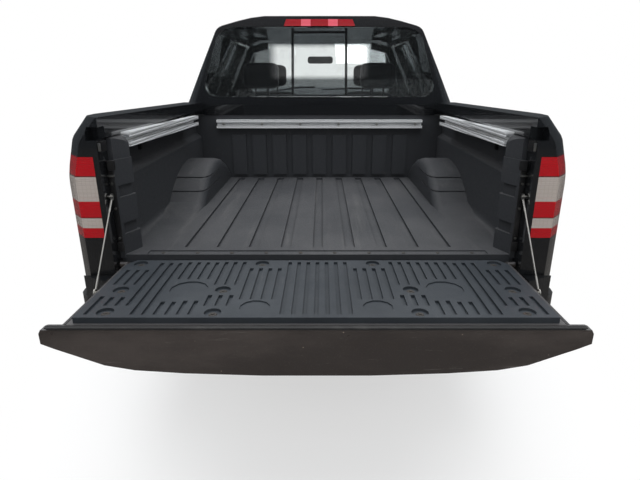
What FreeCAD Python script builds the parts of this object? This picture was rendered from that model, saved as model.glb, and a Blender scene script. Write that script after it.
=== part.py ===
"""A mid-size crew-cab pickup truck with its tailgate let down, as separate panels, chassis pieces and wheels.

Millimetres. +X is the truck's right side, +Y its front and +Z up. The ground is z = 0, and the origin is the
middle of the box that the truck fills with its tailgate down.
"""

import FreeCAD, Part
import math
import os

from FreeCAD import Vector

# Whole vehicle
WHEELBASE = 3200.0
WHEEL_TUCK = 140.0
FRONT_OVERHANG = 900.0
BED_REAR_TO_AXLE = 1150.0
BODY_HALF_WIDTH = 925.0
ROOF_Z = 1824.0

# Gaps and cuts
DOOR_GAP = 7.0
PANEL_GAP = 6.0
GLASS_GAP = 0.3
RUNNING_GAP = 0.3
CUT_OVERRUN = 20.0

# Wheels
TYRE_RADIUS = 388.0
TYRE_WIDTH = 262.0
TYRE_SIDE_RADIUS = 310.0
TREAD_WIDTH = 206.0
BEAD_RADIUS = 216.0
BEAD_WIDTH = 214.0
RIM_WALL = 14.0
SPOKE_DEPTH = 46.0
SPOKE_ROOT_WIDTH = 92.0
SPOKE_TIP_WIDTH = 54.0
HUB_DISC_RADIUS = 86.0
HUB_BORE_RADIUS = 38.0
SPOKES = 6
WHEEL_SIDES = 32
RIM_GAP = 0.5
RIM_LIP = 5.0
RIM_LIP_START = 2.0
SPOKE_SETBACK = 18.0
HUB_FACE = 30.0
HUB_DISC_DEPTH = 52.0
HUB_SOCKET_DEPTH = 16.0

# Body side, from the sill to the belt line
SILL_Z = 385.0
SILL_TUCK = 53.0
LOWER_CREASE_Z = 640.0
UPPER_CREASE_Z = 985.0
BELT_Z = 1240.0
BELT_TUCK = 25.0
SHOULDER_RISE = 22.0
SHOULDER_STEP = 20.0
SILL_RADIUS = 25.0
SIDE_RADIUS = 420.0
BELT_RADIUS = 18.0
BODY_WALL = 52.0

# Cab
CAB_GAP = 22.0
CAB_LENGTH = 2176.0
CAB_UNDER_Z = 545.0
CAB_FLOOR = 50.0
SILL_INNER_TUCK = 150.0
ROOF_RAIL_Z = 1752.0
ROOF_RAIL_TUCK = 277.0
ROOF_SHOULDER_TUCK = 495.0
ROOF_SHOULDER_DROP = 14.0
ROOF_CROWN_HALF_WIDTH = 140.0
ROOF_CROWN_PROUD = 6.0
ROOF_RAIL_RADIUS = 72.0
ROOF_CROWN_RADIUS = 900.0
ROOF_REAR_DROP = 6.0
ROOF_FRONT_DROP = 40.0
ROOF_REAR_RUN = 420.0
ROOF_FRONT_RUN = 1120.0
REAR_LEAN_RUN = 140.0
REAR_LEAN_FROM_Z = 1290.0
REAR_BOW = 45.0
CORNER_LEAN = 0.30
CORNER_STEPS = ((155.0, 0.0), (95.0, 75.0), (47.0, 150.0), (-37.0, 215.0))
COWL_BEHIND_AXLE = 392.0
COWL_Z = 1228.0
SCREEN_RUN = 760.0
SCREEN_RISE = 550.0
SCREEN_BOW = 105.0
FIREWALL_AHEAD = 92.0
COWL_SHELF = 110.0
FRONT_CAB_TUCK = 57.0

# Doors
DOOR_BOTTOM_Z = 438.0
DOOR_TOP_DROP = 22.0
B_LINE_FROM_REAR = 1145.0
REAR_DOOR_INSET = 215.0
REAR_DOOR_LEAN = 150.0
PILLAR_WIDTH = 92.0
DOOR_CORNER_RADIUS = 45.0
DOOR_LEAN = 0.345
DOOR_SEAT_CLEARANCE = 12.0
DOOR_REACH_TUCK = 300.0
WINDOW_SILL_RISE = 34.0
WINDOW_FRAME = 58.0
WINDOW_TOP_FRAME = 42.0
WINDOW_RADIUS = 30.0
MIRROR_SAIL = 120.0
SIDE_GLASS = 5.0
GLASS_SINK = 9.0
B_PILLAR_CLEARANCE = 30.0
B_PILLAR_DEPTH = 50.0
B_PILLAR_WIDTH = 96.0
B_PILLAR_AHEAD = 46.0

# Windscreen and rear window
SCREEN_BASE_TUCK = 177.0
SCREEN_TOP_TUCK = 337.0
SCREEN_BASE_RISE = 34.0
SCREEN_TOP_BELOW_ROOF = 82.0
SCREEN_CORNER_RADIUS = 70.0
SCREEN_GLASS = 6.0
REAR_GLASS_BASE_Z = 1334.0
REAR_GLASS_BASE_TUCK = 173.0
REAR_GLASS_TOP_TUCK = 289.0
REAR_GLASS_TOP_BELOW_ROOF = 74.0
REAR_GLASS_CORNER_RADIUS = 70.0
REAR_GLASS_TOP_RADIUS = 110.0
SLIDER_HALF_WIDTH = 152.0
SLIDER_FRAME = 6.0

# High brake lamp
BRAKE_LAMP_HALF_WIDTH = 208.0
BRAKE_LAMP_FLARE = 15.0
BRAKE_LAMP_HEIGHT = 40.0
BRAKE_LAMP_DEPTH = 60.0
BRAKE_LAMP_BELOW_ROOF = 68.0
BRAKE_LAMP_PROUD = 8.0

# Front body
FRONT_WALL = 32.0
FENDER_SHOULDER_DROP = 4.0
SHOULDER_FALL = 168.0
NOSE_TAPER_RUN = 760.0
NOSE_FLAT_HALF_WIDTH = 300.0
NOSE_FLAT_RADIUS = 900.0
NOSE_FLAT_PROUD = 7.0
NOSE_CORNER_TUCK = 225.0
NOSE_CORNER_SETBACK = 58.0
NOSE_CORNER_RADIUS = 210.0
NOSE_TAPER_RADIUS = 700.0
NOSE_CHIN_SETBACK = 46.0
NOSE_CHIN_Z = 430.0
NOSE_BREAK_Z = 735.0
NOSE_TOP_SETBACK = 78.0
NOSE_TOP_RADIUS = 70.0
NOSE_CHIN_RADIUS = 60.0
HOOD_EDGE_RISE = 30.0
HOOD_CROWN_RISE = 56.0
HOOD_REAR_TUCK = 143.0
HOOD_NOSE_TUCK = 190.0
HOOD_RIDGE_TUCK = 495.0
NOSE_TUCK = 30.0
SHOULDER_RADIUS = 40.0
HOOD_EDGE_RADIUS = 90.0
HOOD_CROWN_RADIUS = 1400.0
HOOD_SKIN = 24.0
HOOD_REAR_SETBACK = 60.0
HOOD_HINGE_INSET = 30.0
HOOD_HINGE_SINK = 44.0
HOOD_LUG_TUCK = 225.0
HOOD_LUG_WIDTH = 12.0
HOOD_LUG_GAP = 6.0
HOOD_PIN_RADIUS = 6.0
HOOD_PIN_CLEARANCE = 0.6
HOOD_LUG_RADIUS = 12.0
HOOD_ARM_DROP = 14.0
HOOD_ARM_HEIGHT = 44.0
ARCH_RADIUS = 452.0
ARCH_SIDES = 40

# Nose
NOSE_CORNER_RUN = 330.0
BUMPER_BOTTOM_Z = 345.0
BUMPER_SPLIT_Z = 868.0
BUMPER_WALL = 46.0
GRILLE_BASE_Z = 690.0
GRILLE_TOP_DROP = 34.0
BUMPER_REAR_SETBACK = 440.0
GRILLE_HALF_WIDTH = 545.0
GRILLE_FRAME = 44.0
GRILLE_BARS = 4
GRILLE_BAR_HEIGHT = 26.0
GRILLE_RADIUS = 40.0
GRILLE_DEPTH = 48.0
HEADLAMP_RISE = 90.0
HEADLAMP_HEIGHT = 160.0
INTAKE_HALF_WIDTH = 470.0
INTAKE_BASE_Z = 470.0
INTAKE_HEIGHT = 165.0
FOG_HALF_WIDTH = 66.0
FOG_TUCK = 235.0
FOG_CENTRE_Z = 575.0
FOG_DEPTH = 35.0

# Bed
BED_INSIDE_LENGTH = 1510.0
BED_FLOOR_Z = 830.0
BED_FLOOR = 30.0
BED_WALL = 12.0
BED_FRONT_WALL = 26.0
BED_INSIDE_TUCK = 145.0
BED_LOWER_TUCK = 173.0
BED_CORNER_RADIUS = 30.0
BED_MOUNT_TOP_Z = 752.0
BED_LEDGE_Z = 1092.0
BED_LEDGE_RISE = 23.0
BED_WALL_TOP_Z = 1262.0
BED_SILL_S = 66.0
POST_START = 76.0
POST_REAR_TUCK = 208.0
POST_FRONT_TUCK = 244.0
POST_BREAK_S = 160.0
POST_END_S = 199.0
POST_EDGE_RADIUS = 12.0
POST_KNOB_STEP = 4.0
POST_KNOB_RADIUS = 45.0
POST_FLANGE_S = 62.0
POST_BANDS = ((905.0, 947.0), (1044.0, 1088.0))
POST_TOP_Z = 1258.0
POST_GROOVE_DEPTH = 12.0
POST_LEDGE_Z = 1181.0
OPENING_TUCK = 190.0
GROOVE_PITCH = 125.0
GROOVE_WIDTH = 40.0
GROOVE_DEPTH = 12.0
GROOVE_START = 150.0
GROOVE_END_GAP = 22.0
GROOVES_EACH_SIDE = 4
WALL_RIB_PITCH = 128.0
WALL_RIB_WIDTH = 88.0
WALL_RIB_DEPTH = 14.0
WALL_RIB_BASE_RISE = 22.0
WALL_RIB_TOP_Z = 1106.0
WALL_RIBS_EACH_SIDE = 4
HEADER_BASE_Z = 1227.0
HEADER_TOP_Z = 1290.0
HEADER_SETBACK = 6.0
SILL_RECESS_DEPTH = 4.0
SILL_RECESS_START = 74.0
SILL_RECESS_END = 112.0
SILL_RECESS_HALF_WIDTH = 640.0
WHEELHOUSE_TUCK = 345.0
WHEELHOUSE_START = 528.0
WHEELHOUSE_RADIUS = 620.0
WHEELHOUSE_RAMP_RISE = 28.0
WHEELHOUSE_FILLET = 45.0
WHEELHOUSE_CREASES = (66.0, 119.0)
CREASE_WIDTH = 5.0
CREASE_DEPTH = 6.0
ARC_CHORDS = 8
FILLET_CHORDS = 3
WHEELHOUSE_WALL = 14.0
CROSS_SILL_WIDTH = 90.0
CROSS_SILL_SHARES = (0.06, 0.36, 0.93)

# Bed sides
RAIL_REAR_Z = 1334.0
RAIL_FRONT_Z = 1302.0
RAIL_OUTER_TUCK = 99.0
RAIL_INNER_TUCK = 201.0
BED_SHOULDER_Z = 1255.0
BED_SHOULDER_STEP = 34.0
BED_WAIST_Z = 1130.0
BED_WAIST_RADIUS = 220.0
BED_SIDE_BOTTOM_Z = 520.0
BED_SIDE_GAP = 0.3
REAR_TUCK = 99.0
REAR_TUCK_RUN = 230.0
REAR_TUCK_SHARES = ((1.0, 0.0), (0.55, 0.16), (0.25, 0.5), (0.0, 1.0))
RAIL_RADIUS = 16.0
BED_SHOULDER_RADIUS = 40.0

# Tail lamps
LAMP_BASE_Z = 918.0
LAMP_TOP_Z = 1204.0
LAMP_INNER_TUCK = 171.0
LAMP_LENGTH = 165.0
LAMP_TOP_LENGTH = 120.0
LAMP_RADIUS = 18.0

# Tailgate
TAILGATE_HEIGHT = 493.0
TAILGATE_TUCK = 208.0
TAILGATE_HINGE_S = 38.0
TAILGATE_HINGE_Z = 802.0
TAILGATE_HEEL = 8.0
TAILGATE_FACE_RISE = 4.0
TAILGATE_SKIN_DROP = 42.0
TAILGATE_BOW = 34.0
LIP_HEIGHT = 24.0
LIP_TUCK = 163.0
LIP_BLEND = 120.0
LIP_DEPTH = 144.0
LIP_EDGE_SHARES = ((1.0, 0.28), (0.954, 0.39), (0.878, 0.55), (0.78, 0.757), (0.67, 0.868), (0.487, 0.938), (0.2, 0.99))
LIP_EDGE_RADIUS = 13.0
TAILGATE_EDGE_RADIUS = 14.0
EAR_CLEARANCE = 7.0
SEAM_TUCK = 224.0
SEAM_WIDTH = 3.0
SEAM_DEPTH = 2.0
HINGE_PIN_RADIUS = 9.0
HINGE_PIN_REACH = 12.0
LINER_TUCK = 243.0
LINER_THICKNESS = 18.0
LINER_LENGTH = 440.0
LINER_START = 17.0
LINER_CHAMFER = 36.0
SLOT_WIDTH = 13.0
SLOT_DEPTH = 8.0
SLOT_PITCH = 32.7
SLOT_SHARES = (
    (0, 3, 0.045, 0.960),
    (4, 7, 0.266, 0.827),
    (8, 10, 0.168, 0.332),
    (8, 10, 0.509, 0.964),
    (11, 12, 0.041, 0.243),
    (13, 14, 0.041, 0.227),
    (11, 14, 0.609, 0.955),
    (15, 16, 0.041, 0.941),
    (17, 17, 0.168, 0.941),
    (18, 19, 0.168, 0.298),
    (18, 20, 0.509, 0.791),
    (20, 20, 0.041, 0.311),
)
RECESS_SHARES = (
    (0.928, 0.925, 1.0),
    (0.905, 0.418, 1.0),
    (0.886, 0.080, 1.0),
    (0.290, 0.930, 1.0),
    (0.434, 0.423, 1.0),
    (0.434, 0.072, 1.0),
    (0.594, 0.434, 2.4),
    (0.264, 0.148, 1.8),
)
RECESS_RADIUS = 25.0
SHALLOW_RECESS_DEPTH = 4.0
RECESS_SIDES = 12

# Tailgate cables
CABLE_TUCK = 199.0
CABLE_RADIUS = 2.5
CRIMP_RADIUS = 3.5
CABLE_TOP_S = 40.0
CABLE_TOP_Z = 1057.0
CABLE_ANCHOR = 223.0
CABLE_ANCHOR_RISE = -12.0
EYE_RADIUS = 13.0
EYE_HOLE_RADIUS = 6.6
EYE_THICKNESS = 4.0
CRIMP_LENGTH = 46.0
STUD_RADIUS = 5.5
STUD_HEAD = 2.0

# Utility tracks
TRACK_HEIGHT = 52.0
TRACK_DEPTH = 34.0
TRACK_SLOT = 18.0
TRACK_CAVITY = 32.0
TRACK_WALL = 5.0
SIDE_TRACK_START = 182.0
SIDE_TRACK_END = 1210.0
SIDE_TRACK_Z = 1245.0
TRACK_FOOT_SHARES = (0.04, 0.34, 0.66, 0.96)
FRONT_TRACK_Z = 1173.0
FRONT_TRACK_TUCK = 280.0

# Rear bumper and hitch
BUMPER_REAR_S = -108.0
BUMPER_FRONT_S = 12.0
REAR_BUMPER_SIDE_TUCK = 33.0
REAR_BUMPER_BOTTOM_Z = 505.0
REAR_BUMPER_TOP_Z = 690.0
REAR_BUMPER_HORN_Z = 776.0
REAR_BUMPER_HORN_TUCK = 177.0
REAR_BUMPER_BOW = 46.0
REAR_BUMPER_TUCK = 80.0
REAR_BUMPER_WRAP = 225.0
REAR_BUMPER_WALL = 26.0
PLATE_HALF_WIDTH = 165.0
PLATE_HEIGHT = 125.0
PLATE_BASE_Z = 548.0
PLATE_DEPTH = 14.0
BALL_HOLE_RADIUS = 12.7
RECEIVER_OUTER = 63.5
RECEIVER_INNER = 51.0
RECEIVER_LENGTH = 240.0
RECEIVER_MOUTH_S = -92.0
RECEIVER_Z = 455.0
HITCH_PIN_RADIUS = 8.0
HITCH_PIN_SETBACK = 65.0
HITCH_BAR = 62.0

# Frame
RAIL_OUTER_X = 430.0
RAIL_WIDTH = 70.0
RAIL_HEIGHT = 120.0
RAIL_REAR_UNDER_Z = 560.0
RAIL_ARCH_UNDER_Z = 600.0
RAIL_MID_UNDER_Z = 395.0
RAIL_FRONT_UNDER_Z = 420.0
RAIL_REAR_S = 40.0
RAIL_ARCH_REAR_RUN = 420.0
RAIL_ARCH_FRONT_RUN = 170.0
RAIL_ARCH_END_RUN = 440.0
RAIL_FRONT_SETBACK = 190.0
CROSSMEMBER = 84.0
MOUNT_RADIUS = 42.0
MOUNT_SIDES = 10
MOUNT_TUCK = 405.0

CROSSMEMBER_PLACES = (60.0, 560.0, 1560.0, 2640.0, 4955.0)
CRADLE_S = 4330.0
CRADLE_UNDER_Z = 380.0
CRADLE_HEIGHT = 96.0
CAB_MOUNT_PLACES = (1900.0, 2680.0, 3600.0)
BED_MOUNT_PLACES = (120.0, 1480.0)
TOWER_WALL = 40.0
TOWER_HALF_LENGTH = 75.0
TOWER_TOP_Z = 900.0
TOWER_REACH_TUCK = 325.0

# Engine and driveline
ENGINE_WIDTH = 560.0
ENGINE_LENGTH = 620.0
ENGINE_HEIGHT = 560.0
ENGINE_BASE_Z = 480.0
ENGINE_BEHIND_AXLE = 300.0
GEARBOX_WIDTH = 340.0
GEARBOX_HEIGHT = 235.0
GEARBOX_LENGTH = 900.0
SHAFT_RADIUS = 38.0
SHAFT_Z = 400.0
RADIATOR_TUCK = 545.0
RADIATOR_DEPTH = 50.0
RADIATOR_BASE_Z = 540.0
RADIATOR_TOP_Z = 1010.0
RADIATOR_SETBACK = 265.0

# Suspension
AXLE_TUBE_RADIUS = 42.0
DIFF_RADIUS = 140.0
DIFF_HALF_WIDTH = 120.0
BRAKE_RADIUS = 158.0
BRAKE_WIDTH = 44.0
SPRING_TUCK = 380.0
SPRING_WIDTH = 60.0
SPRING_THICKNESS = 34.0
SPRING_HALF_LENGTH = 640.0
SPRING_SAG = 90.0
KINGPIN_TUCK = 225.0
KNUCKLE_WIDTH = 56.0
KNUCKLE_DEPTH = 80.0
KNUCKLE_HEIGHT = 290.0
ARM_THICKNESS = 34.0
ARM_ROOT_HALF_WIDTH = 150.0
ARM_TIP_HALF_WIDTH = 30.0
ARM_WAIST_REACH = 100.0
STRUT_RADIUS = 46.0
STRUT_TUCK = 380.0
ARCH_LINER_WALL = 5.0
LINER_INNER_TUCK = 300.0
LINER_OUTER_TUCK = 59.0
LINER_RISE = 60.0

# Exhaust, tank and spare
MUFFLER_RADIUS = 95.0
MUFFLER_LENGTH = 520.0
PIPE_RADIUS = 28.0
EXHAUST_X = 215.0
EXHAUST_Z = 430.0
TAILPIPE_RISE = 50.0
TAILPIPE_CROSS_X = 472.0
TAILPIPE_END_TUCK = 125.0
TAILPIPE_BEND = 300.0
TAILPIPE_TURN = 715.0
TAILPIPE_SWEEP = 110.0
TANK_LENGTH = 900.0
TANK_START = 1690.0
TANK_INNER_X = 60.0
TANK_UNDER_Z = 310.0
TANK_HEIGHT = 210.0
SPARE_S = 560.0
SPARE_Z = 424.0

# Cabin
SEAT_WIDTH = 510.0
SEAT_LENGTH = 520.0
SEAT_CUSHION = 150.0
SEAT_RISER = 190.0
SEAT_BACK_HEIGHT = 560.0
SEAT_BACK_THICKNESS = 130.0
SEAT_BACK_LEAN = 150.0
HEADREST_WIDTH = 250.0
HEADREST_HEIGHT = 170.0
HEADREST_GAP = 30.0
HEADREST_THICKNESS = 95.0
SEAT_TUCK = 540.0
FRONT_SEAT_FROM_REAR = 1010.0
REAR_SEAT_FROM_REAR = 300.0
REAR_SEAT_TUCK = 235.0
DASH_TUCK = 125.0
DASH_DEPTH = 420.0
DASH_TOP_DROP = 24.0
DASH_HEIGHT = 330.0
CONSOLE_HALF_WIDTH = 130.0
CONSOLE_LENGTH = 900.0
CONSOLE_HEIGHT = 250.0
WHEEL_RIM_RADIUS = 190.0
WHEEL_RIM_THICKNESS = 28.0
COLUMN_RADIUS = 34.0
STEERING_SIDES = 24
STEERING_Z = 1100.0
STEERING_AHEAD = 560.0
STEERING_LEAN = 180.0

# Mirrors
MIRROR_WIDTH = 215.0
MIRROR_HEIGHT = 190.0
MIRROR_DEPTH = 95.0
MIRROR_BASE_Z = 1262.0
MIRROR_ARM = 42.0
MIRROR_GAP = 34.0
MIRROR_RADIUS = 28.0
MIRROR_SETBACK = 175.0

# Half-widths, each a step in from the widest part of the body
SILL_HALF_WIDTH = BODY_HALF_WIDTH - SILL_TUCK
BELT_HALF_WIDTH = BODY_HALF_WIDTH - BELT_TUCK
SILL_INNER_HALF_WIDTH = BODY_HALF_WIDTH - SILL_INNER_TUCK
ROOF_RAIL_HALF_WIDTH = BODY_HALF_WIDTH - ROOF_RAIL_TUCK
FRONT_CAB_HALF_WIDTH = BODY_HALF_WIDTH - FRONT_CAB_TUCK
SCREEN_BASE_HALF_WIDTH = BODY_HALF_WIDTH - SCREEN_BASE_TUCK
SCREEN_TOP_HALF_WIDTH = BODY_HALF_WIDTH - SCREEN_TOP_TUCK
REAR_GLASS_BASE_HALF_WIDTH = BODY_HALF_WIDTH - REAR_GLASS_BASE_TUCK
REAR_GLASS_TOP_HALF_WIDTH = BODY_HALF_WIDTH - REAR_GLASS_TOP_TUCK
NOSE_CORNER_HALF_WIDTH = BODY_HALF_WIDTH - NOSE_CORNER_TUCK
HOOD_REAR_HALF_WIDTH = BODY_HALF_WIDTH - HOOD_REAR_TUCK
HOOD_NOSE_HALF_WIDTH = BODY_HALF_WIDTH - HOOD_NOSE_TUCK
NOSE_HALF_WIDTH = BODY_HALF_WIDTH - NOSE_TUCK
OPENING_HALF_WIDTH = BODY_HALF_WIDTH - OPENING_TUCK
RAIL_INNER_HALF_WIDTH = BODY_HALF_WIDTH - RAIL_INNER_TUCK
BED_INSIDE_HALF_WIDTH = BODY_HALF_WIDTH - BED_INSIDE_TUCK
BED_LOWER_HALF_WIDTH = BODY_HALF_WIDTH - BED_LOWER_TUCK
POST_REAR_X = BODY_HALF_WIDTH - POST_REAR_TUCK
POST_FRONT_X = BODY_HALF_WIDTH - POST_FRONT_TUCK
HEADER_HALF_LENGTH = RAIL_INNER_HALF_WIDTH - RUNNING_GAP
SEAM_HALF_WIDTH = BODY_HALF_WIDTH - SEAM_TUCK
WHEELHOUSE_HALF_GAP = BODY_HALF_WIDTH - WHEELHOUSE_TUCK
RAIL_OUTER_HALF_WIDTH = BODY_HALF_WIDTH - RAIL_OUTER_TUCK
LAMP_INNER_HALF_WIDTH = BODY_HALF_WIDTH - LAMP_INNER_TUCK
TAILGATE_HALF_WIDTH = BODY_HALF_WIDTH - TAILGATE_TUCK
LIP_HALF_WIDTH = BODY_HALF_WIDTH - LIP_TUCK
LINER_HALF_WIDTH = BODY_HALF_WIDTH - LINER_TUCK
CABLE_PLANE_X = BODY_HALF_WIDTH - CABLE_TUCK
FRONT_TRACK_HALF_LENGTH = BODY_HALF_WIDTH - FRONT_TRACK_TUCK
REAR_BUMPER_HALF_WIDTH = BODY_HALF_WIDTH - REAR_BUMPER_SIDE_TUCK
REAR_BUMPER_HORN_X = BODY_HALF_WIDTH - REAR_BUMPER_HORN_TUCK
KINGPIN_X = BODY_HALF_WIDTH - KINGPIN_TUCK
SPRING_X = BODY_HALF_WIDTH - SPRING_TUCK
STRUT_X = BODY_HALF_WIDTH - STRUT_TUCK
LINER_INNER_X = BODY_HALF_WIDTH - LINER_INNER_TUCK
LINER_OUTER_X = BODY_HALF_WIDTH - LINER_OUTER_TUCK
TOWER_REACH = BODY_HALF_WIDTH - TOWER_REACH_TUCK
MOUNT_X = BODY_HALF_WIDTH - MOUNT_TUCK
SEAT_CENTRE_X = BODY_HALF_WIDTH - SEAT_TUCK
REAR_SEAT_HALF_WIDTH = BODY_HALF_WIDTH - REAR_SEAT_TUCK
DASH_HALF_WIDTH = BODY_HALF_WIDTH - DASH_TUCK
FOG_CENTRE_X = BODY_HALF_WIDTH - FOG_TUCK
HOOD_LUG_X = BODY_HALF_WIDTH - HOOD_LUG_TUCK
DOOR_REACH_X = BODY_HALF_WIDTH - DOOR_REACH_TUCK
RADIATOR_HALF_WIDTH = BODY_HALF_WIDTH - RADIATOR_TUCK
ROOF_SHOULDER_HALF_WIDTH = BODY_HALF_WIDTH - ROOF_SHOULDER_TUCK
HOOD_RIDGE_HALF_WIDTH = BODY_HALF_WIDTH - HOOD_RIDGE_TUCK
TAILPIPE_END_X = BODY_HALF_WIDTH - TAILPIPE_END_TUCK

# Places along the truck, worked out from the sizes
BED_LENGTH = BED_INSIDE_LENGTH + BED_FRONT_WALL
REAR_REACH = TAILGATE_HEIGHT - TAILGATE_HINGE_S
FRONT_REACH = BED_REAR_TO_AXLE + WHEELBASE + FRONT_OVERHANG
BED_REAR_Y = (REAR_REACH - FRONT_REACH) / 2
REAR_AXLE_Y = BED_REAR_Y + BED_REAR_TO_AXLE
FRONT_AXLE_Y = REAR_AXLE_Y + WHEELBASE
NOSE_Y = FRONT_AXLE_Y + FRONT_OVERHANG
BED_FRONT_Y = BED_REAR_Y + BED_LENGTH
CAB_REAR_Y = BED_FRONT_Y + CAB_GAP
DOOR_FRONT_Y = CAB_REAR_Y + CAB_LENGTH
B_LINE_Y = CAB_REAR_Y + B_LINE_FROM_REAR
COWL_Y = FRONT_AXLE_Y - COWL_BEHIND_AXLE
FIREWALL_Y = DOOR_FRONT_Y + FIREWALL_AHEAD
DOOR_TOP_Z = ROOF_RAIL_Z - DOOR_TOP_DROP
CAB_FLOOR_Z = CAB_UNDER_Z + CAB_FLOOR
WHEEL_X = BODY_HALF_WIDTH - WHEEL_TUCK
SCREEN_LEAN = -SCREEN_RUN / SCREEN_RISE
REAR_LEAN = REAR_LEAN_RUN / (ROOF_Z - REAR_LEAN_FROM_Z)
WIDE = 2 * BODY_HALF_WIDTH
AXES = {"x": Vector(1, 0, 0), "y": Vector(0, 1, 0), "z": Vector(0, 0, 1)}
CORNER_LIMIT_SHARE = 0.49
CHORD_SHARE = 0.3
BOW_CHORDS = 10
ROD_SIDES = 8
ROUND_SHARE = 0.45
SCRAP_VOLUME = 1000.0


def flat(ring):
    """A flat face inside a ring of points."""
    return Part.Face(Part.makePolygon([*ring, ring[0]]))


class Outline:
    """A closed outline of straight sides. Each point is (u, v) or (u, v, radius of its round corner)."""

    def __init__(self, points):
        self.points = [(p[0], p[1], p[2] if len(p) > 2 else 0) for p in points]

    def turn(self):
        """1 for an outline that runs anticlockwise, and -1 for the other way."""
        pts = self.points
        area = sum(a[0] * b[1] - b[0] * a[1] for a, b in zip(pts, pts[1:] + pts[:1]))
        return math.copysign(1, area)

    def offset(self, inset):
        """The outline with each side moved inwards by inset, and its round corners kept parallel."""
        way = self.turn()
        pts = [Vector(u, v, 0) for u, v, _ in self.points]
        moved = []
        for i, (u, v, radius) in enumerate(self.points):
            before = (pts[i] - pts[i - 1]).normalize()
            after = (pts[(i + 1) % len(pts)] - pts[i]).normalize()
            normal_a = Vector(-before.y, before.x, 0) * way
            normal_b = Vector(-after.y, after.x, 0) * way
            reach = inset / (1 + normal_a.dot(normal_b))
            corner = pts[i] + (normal_a + normal_b) * reach
            convex = (before.x * after.y - before.y * after.x) * way > 0
            if radius:
                radius = max(radius - inset if convex else radius + inset, 0)
            moved.append((corner.x, corner.y, radius))
        return Outline(moved)

    def drawn(self):
        """The outline's points, with each round corner drawn as chords."""
        pts = [Vector(u, v, 0) for u, v, _ in self.points]
        drawn = []
        for i, (u, v, radius) in enumerate(self.points):
            if not radius:
                drawn.append(pts[i])
                continue
            to_last, to_next = pts[i - 1] - pts[i], pts[(i + 1) % len(pts)] - pts[i]
            room = CORNER_LIMIT_SHARE * min(to_last.Length, to_next.Length)
            half = to_last.getAngle(to_next) / 2
            reach = min(radius / math.tan(half), room)
            to_last.normalize()
            to_next.normalize()
            centre = pts[i] + (to_last + to_next).normalize() * (reach / math.cos(half))
            start = pts[i] + to_last * reach - centre
            end = pts[i] + to_next * reach - centre
            turn = start.getAngle(end)
            steps = math.ceil(CHORD_SHARE * turn * math.sqrt(radius))
            for k in range(steps + 1):
                part = turn * k / steps
                spoke = start * math.sin(turn - part) + end * math.sin(part)
                drawn.append(centre + spoke * (1 / math.sin(turn)))
        return drawn

    def ring(self, axis, level):
        """The outline's points across an axis, at that level: (y, z), (x, z) or (x, y)."""
        place = {
            "x": lambda p: Vector(level, p.x, p.y),
            "y": lambda p: Vector(p.x, level, p.y),
            "z": lambda p: Vector(p.x, p.y, level),
        }[axis]
        return [place(p) for p in self.drawn()]

    def prism(self, axis, low, high, lean=Vector(0, 0, 0)):
        """The outline drawn out along an axis from low to high, moving sideways by lean on the way."""
        return flat(self.ring(axis, low)).extrude(AXES[axis] * (high - low) + lean)


def mirrored(points):
    """The points of a right half, (x, z) or (x, y) with x above zero, followed by their mirror images."""
    return list(points) + [(-p[0], *p[1:]) for p in reversed(points)]


def box(x0, x1, y0, y1, z0, z1):
    return Part.makeBox(x1 - x0, y1 - y0, z1 - z0, Vector(x0, y0, z0))


def round_bar(axis, centre, radius, length):
    """A true round bar that starts at centre and runs along an axis."""
    return Part.makeCylinder(radius, length, Vector(*centre), AXES[axis])


def cylinder(axis, centre, radius, length):
    """A round bar in flats, more of them for a bigger radius."""
    quarters = max(2, math.ceil(ROUND_SHARE * math.sqrt(radius)))
    return faceted(axis, centre, radius, length, 4 * quarters)


def faceted(axis, centre, radius, length, sides):
    """A bar of regular section, flat side down, that starts at centre and runs along an axis."""
    ring = []
    for i in range(sides):
        angle = math.tau * (i + 1 / 2) / sides
        ring.append((radius * math.cos(angle), radius * math.sin(angle)))
    u, v = {"x": (1, 2), "y": (0, 2), "z": (0, 1)}[axis]
    level = {"x": 0, "y": 1, "z": 2}[axis]
    moved = [(centre[u] + a, centre[v] + b) for a, b in ring]
    return Outline(moved).prism(axis, centre[level], centre[level] + length)


def closed(faces):
    """The solid inside a closed set of faces."""
    shell = Part.makeShell(faces)
    shell.sewShape()
    solid = Part.Solid(Part.Shell(shell.Faces))
    if solid.Volume < 0:
        solid.reverse()
    return solid


def band(ring, following):
    """The flat faces between two rings with the same number of points."""
    faces = []
    for a, b, c, d in zip(ring, ring[1:] + ring[:1], following[1:] + following[:1], following):
        faces.append(flat([a, b, c, d]))
    return faces


def through(rings):
    """A solid with flat ends through a row of rings."""
    faces = [flat(rings[0]), flat(rings[-1])]
    for ring, following in zip(rings, rings[1:]):
        faces.extend(band(ring, following))
    return closed(faces)


def turned(points, y):
    """A solid in flats about a wheel's axle: points are (x, distance from the axle), and the flats touch them."""
    reach = 1 / math.cos(math.pi / WHEEL_SIDES)
    rings = []
    for i in range(WHEEL_SIDES):
        angle = math.tau * (i + 1 / 2) / WHEEL_SIDES
        along, up = math.cos(angle) * reach, math.sin(angle) * reach
        rings.append([Vector(x, y + r * along, TYRE_RADIUS + r * up) for x, r in points])
    faces = []
    for ring, following in zip(rings, rings[1:] + rings[:1]):
        faces.extend(band(ring, following))
    return closed(faces)


def rod(start, end, radius):
    """A thin bar in flats between two points."""
    way = end - start
    side = way.cross(AXES["x"] if abs(way.x) < way.Length / 2 else AXES["z"]).normalize()
    up = Vector(way).cross(side).normalize()
    ring = []
    for i in range(ROD_SIDES):
        angle = math.tau * (i + 1 / 2) / ROD_SIDES
        ring.append(start + side * (radius * math.cos(angle)) + up * (radius * math.sin(angle)))
    return flat(ring).extrude(way)


def mirror_x(shape):
    return shape.mirror(Vector(0, 0, 0), Vector(1, 0, 0))


def both_sides(shape):
    return [shape, mirror_x(shape)]


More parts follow.
